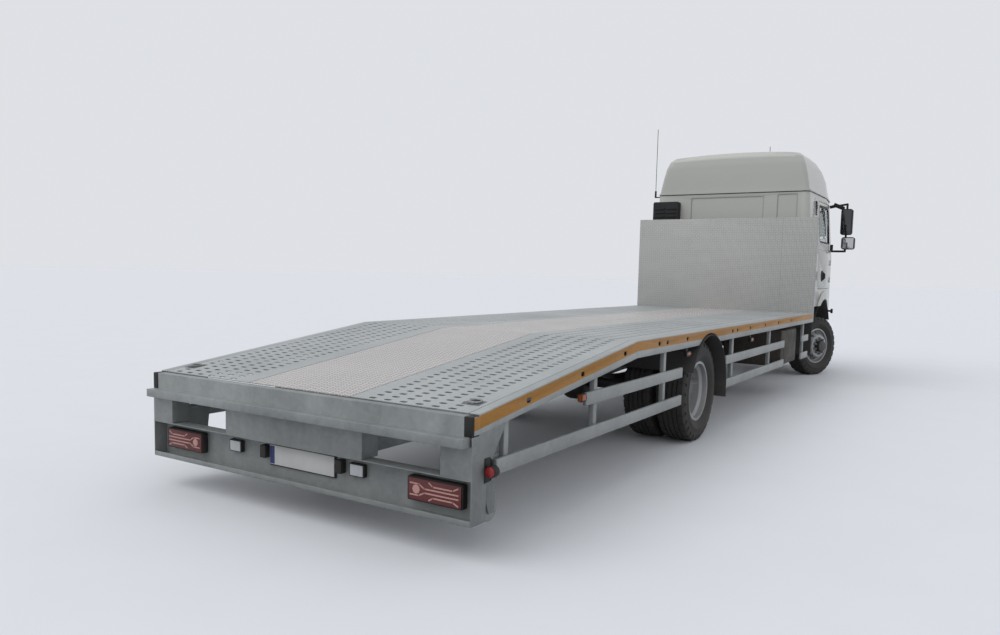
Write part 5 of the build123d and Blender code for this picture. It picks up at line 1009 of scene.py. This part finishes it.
def pad(spans, voxel=0.0075):
    """Foam pad in its cover: a rounded box smaller than its place, swollen by pressure and capped."""
    piece = cuboid(*((low + SWELL_START, high - SWELL_START) for low, high in spans), 0.022, 0.035, 2)
    piece.data.remesh_voxel_size = voxel
    bpy.ops.object.voxel_remesh()
    start = [v.co.copy() for v in piece.data.vertices]
    swell = piece.modifiers.new("swell", "CLOTH")
    swell.settings.use_pressure = True
    swell.settings.uniform_pressure_force = 4
    swell.settings.effector_weights.gravity = 0
    swell.settings.quality = 4
    for step in range(1, PAD_FRAMES + 1):
        world.frame_set(step)
    bpy.ops.object.modifier_apply(modifier="swell")
    for vertex, before in zip(piece.data.vertices, start):
        move = vertex.co - before
        if move.length > SWELL_CAP:
            vertex.co = before + move.normalized() * SWELL_CAP
    world.frame_set(1)
    for vertex in piece.data.vertices:
        vertex.co = [min(max(part, low), high) for part, (low, high) in zip(vertex.co, spans)]
    shaped(piece, "SMOOTH", factor=0.5, iterations=3)
    return piece


def sewn(piece, middle, half):
    """Press two sewn channels into a pad, to either side of its middle line."""
    for vertex in piece.data.vertices:
        for line in about(middle, half):
            away = abs(vertex.co.x - line)
            if away < CHANNEL_HALF:
                vertex.co -= vertex.normal * CHANNEL_DEEP * (1 - away / CHANNEL_HALF) ** 2
    shaped(piece, "SUBSURF", levels=1)
    bpy.ops.object.shade_smooth()
    return piece


SEAT_X, SEAT_HALF = 0.56, 0.25
SEAT_Y0, SEAT_Y1, BACKREST_Y = -4.275, -3.755, -3.875
BASE_Y, STALK_Y = (SEAT_Y0 + 0.06, SEAT_Y1 - 0.06), (SEAT_Y1 - 0.07, SEAT_Y1 - 0.056)
# name, ends in y and z, half width, and how far the sewn channels lie from the middle: a headrest's would lie
# past its sides, so it has none
SEAT_PARTS = (
    ("cushion", (SEAT_Y0, BACKREST_Y + 0.02), (1.49, 1.62), SEAT_HALF, 0.14),
    ("back", (BACKREST_Y, SEAT_Y1), (1.6, 2.12), SEAT_HALF, 0.14),
    ("headrest", (BACKREST_Y + 0.01, SEAT_Y1), (2.135, 2.33), 0.14, 0.3),
)
bases = []
for _, side in SIDES:
    bases.append(cuboid(about(SEAT_X, 0.19), BASE_Y, (1.19, 1.5), 0.006, 0.03, 2, side))
    for x in (SEAT_X + 0.05, SEAT_X - 0.05):
        bases.append(cuboid(about(x, 0.007), STALK_Y, (2.08, 2.17), 0.002, 0.005, 2, side))
settle(joined(bases), "seat_bases", black, "cab", "black_plastic", "seats")
for label, y, z, half, channel in SEAT_PARTS:
    piece = sewn(pad((about(SEAT_X, half), y, z)), SEAT_X, channel)
    bpy.ops.object.duplicate()
    twin = bpy.context.object
    twin.data.transform(Matrix.Translation((-2 * SEAT_X, 0, 0)))
    for made, name in ((piece, "left"), (twin, "right")):
        settle(made, f"seat_{label}_{name}", cloth, "cab", "seat_fabric")
refined("bunk", grey_plastic, "grey_plastic", edge=0.006)
MATTRESS = ((-1.0, 1.0), (-3.42, -2.99), (1.52, 1.64))
mattress = sewn(pad(MATTRESS, voxel=0.012), 0, 0.34)
settle(mattress, "bunk_mattress", cloth, "cab", "seat_fabric")
refined("dashboard", grey_plastic, "grey_plastic", edge=0.004)

# Floor: a plain pale sheet under the truck, which throws less light back up than it shows.
# It belongs to the scene and not to the truck.
bpy.ops.mesh.primitive_plane_add(size=400, location=(0, 0, 0))
ground = bpy.context.object
ground.name = "floor"
pale, shader = fresh("pale_floor")
shader["Roughness"].default_value = 0.7
shade = mix(noise(placed(pale)[0], 2.0), (0.76, 0.775, 0.8), (0.79, 0.805, 0.83))
ray = node("LightPath", {}, pale.node_tree)
seen = maths("MAXIMUM", ray["Is Camera Ray"],
             maths("MAXIMUM", ray["Is Glossy Ray"], ray["Is Transmission Ray"]))
link(mix(seen, (0.15, 0.15, 0.15), shade), shader["Base Color"])
ground.data.materials.append(pale)

# Light: an overcast sky all round, and a wide soft lamp high up behind the truck's left.
# Floor and sky come out about alike, so that the far edge of the floor hardly shows.
sky = bpy.data.worlds.new("overcast")
world.world = sky
sky.use_nodes = True
back = sky.node_tree.nodes["Background"].inputs
back["Color"].default_value = (0.86, 0.88, 0.92, 1)
back["Strength"].default_value = 0.85
bpy.ops.object.light_add(type="SUN", location=(6, 8, 12))
soft = bpy.context.object
soft.data.energy, soft.data.angle = 0.8, radians(50)
soft.rotation_euler = (-soft.location).to_track_quat("-Z", "Y").to_euler()

# Camera: at the photograph's place, behind the truck's right rear corner and at a person's height.
# Its turn, tilt and roll are in radians and its lens in millimetres on a 36 mm frame.
CAMERA_PLACE = (-3.3325, 8.4159, 1.4281)
YAW, PITCH, ROLL = 0.5632, 0.0901, 0.0226
LENS, SHIFT_Y, FAR = 28.331, 0.02556, 500
ahead = Vector((sin(YAW) * cos(PITCH), -cos(YAW) * cos(PITCH), -sin(PITCH)))
flat_right = ahead.cross(Vector((0, 0, 1))).normalized()
flat_up = flat_right.cross(ahead)
right = cos(ROLL) * flat_right + sin(ROLL) * flat_up
up = -sin(ROLL) * flat_right + cos(ROLL) * flat_up
eye = bpy.data.objects.new("camera", bpy.data.cameras.new("camera"))
world.collection.objects.link(eye)
turn = Matrix((right, up, -ahead)).transposed().to_4x4()
eye.matrix_world = Matrix.Translation(CAMERA_PLACE) @ turn
eye.data.lens, eye.data.sensor_width, eye.data.shift_y, eye.data.clip_end = LENS, 36, SHIFT_Y, FAR
world.camera = eye
world.view_settings.view_transform = "Standard"
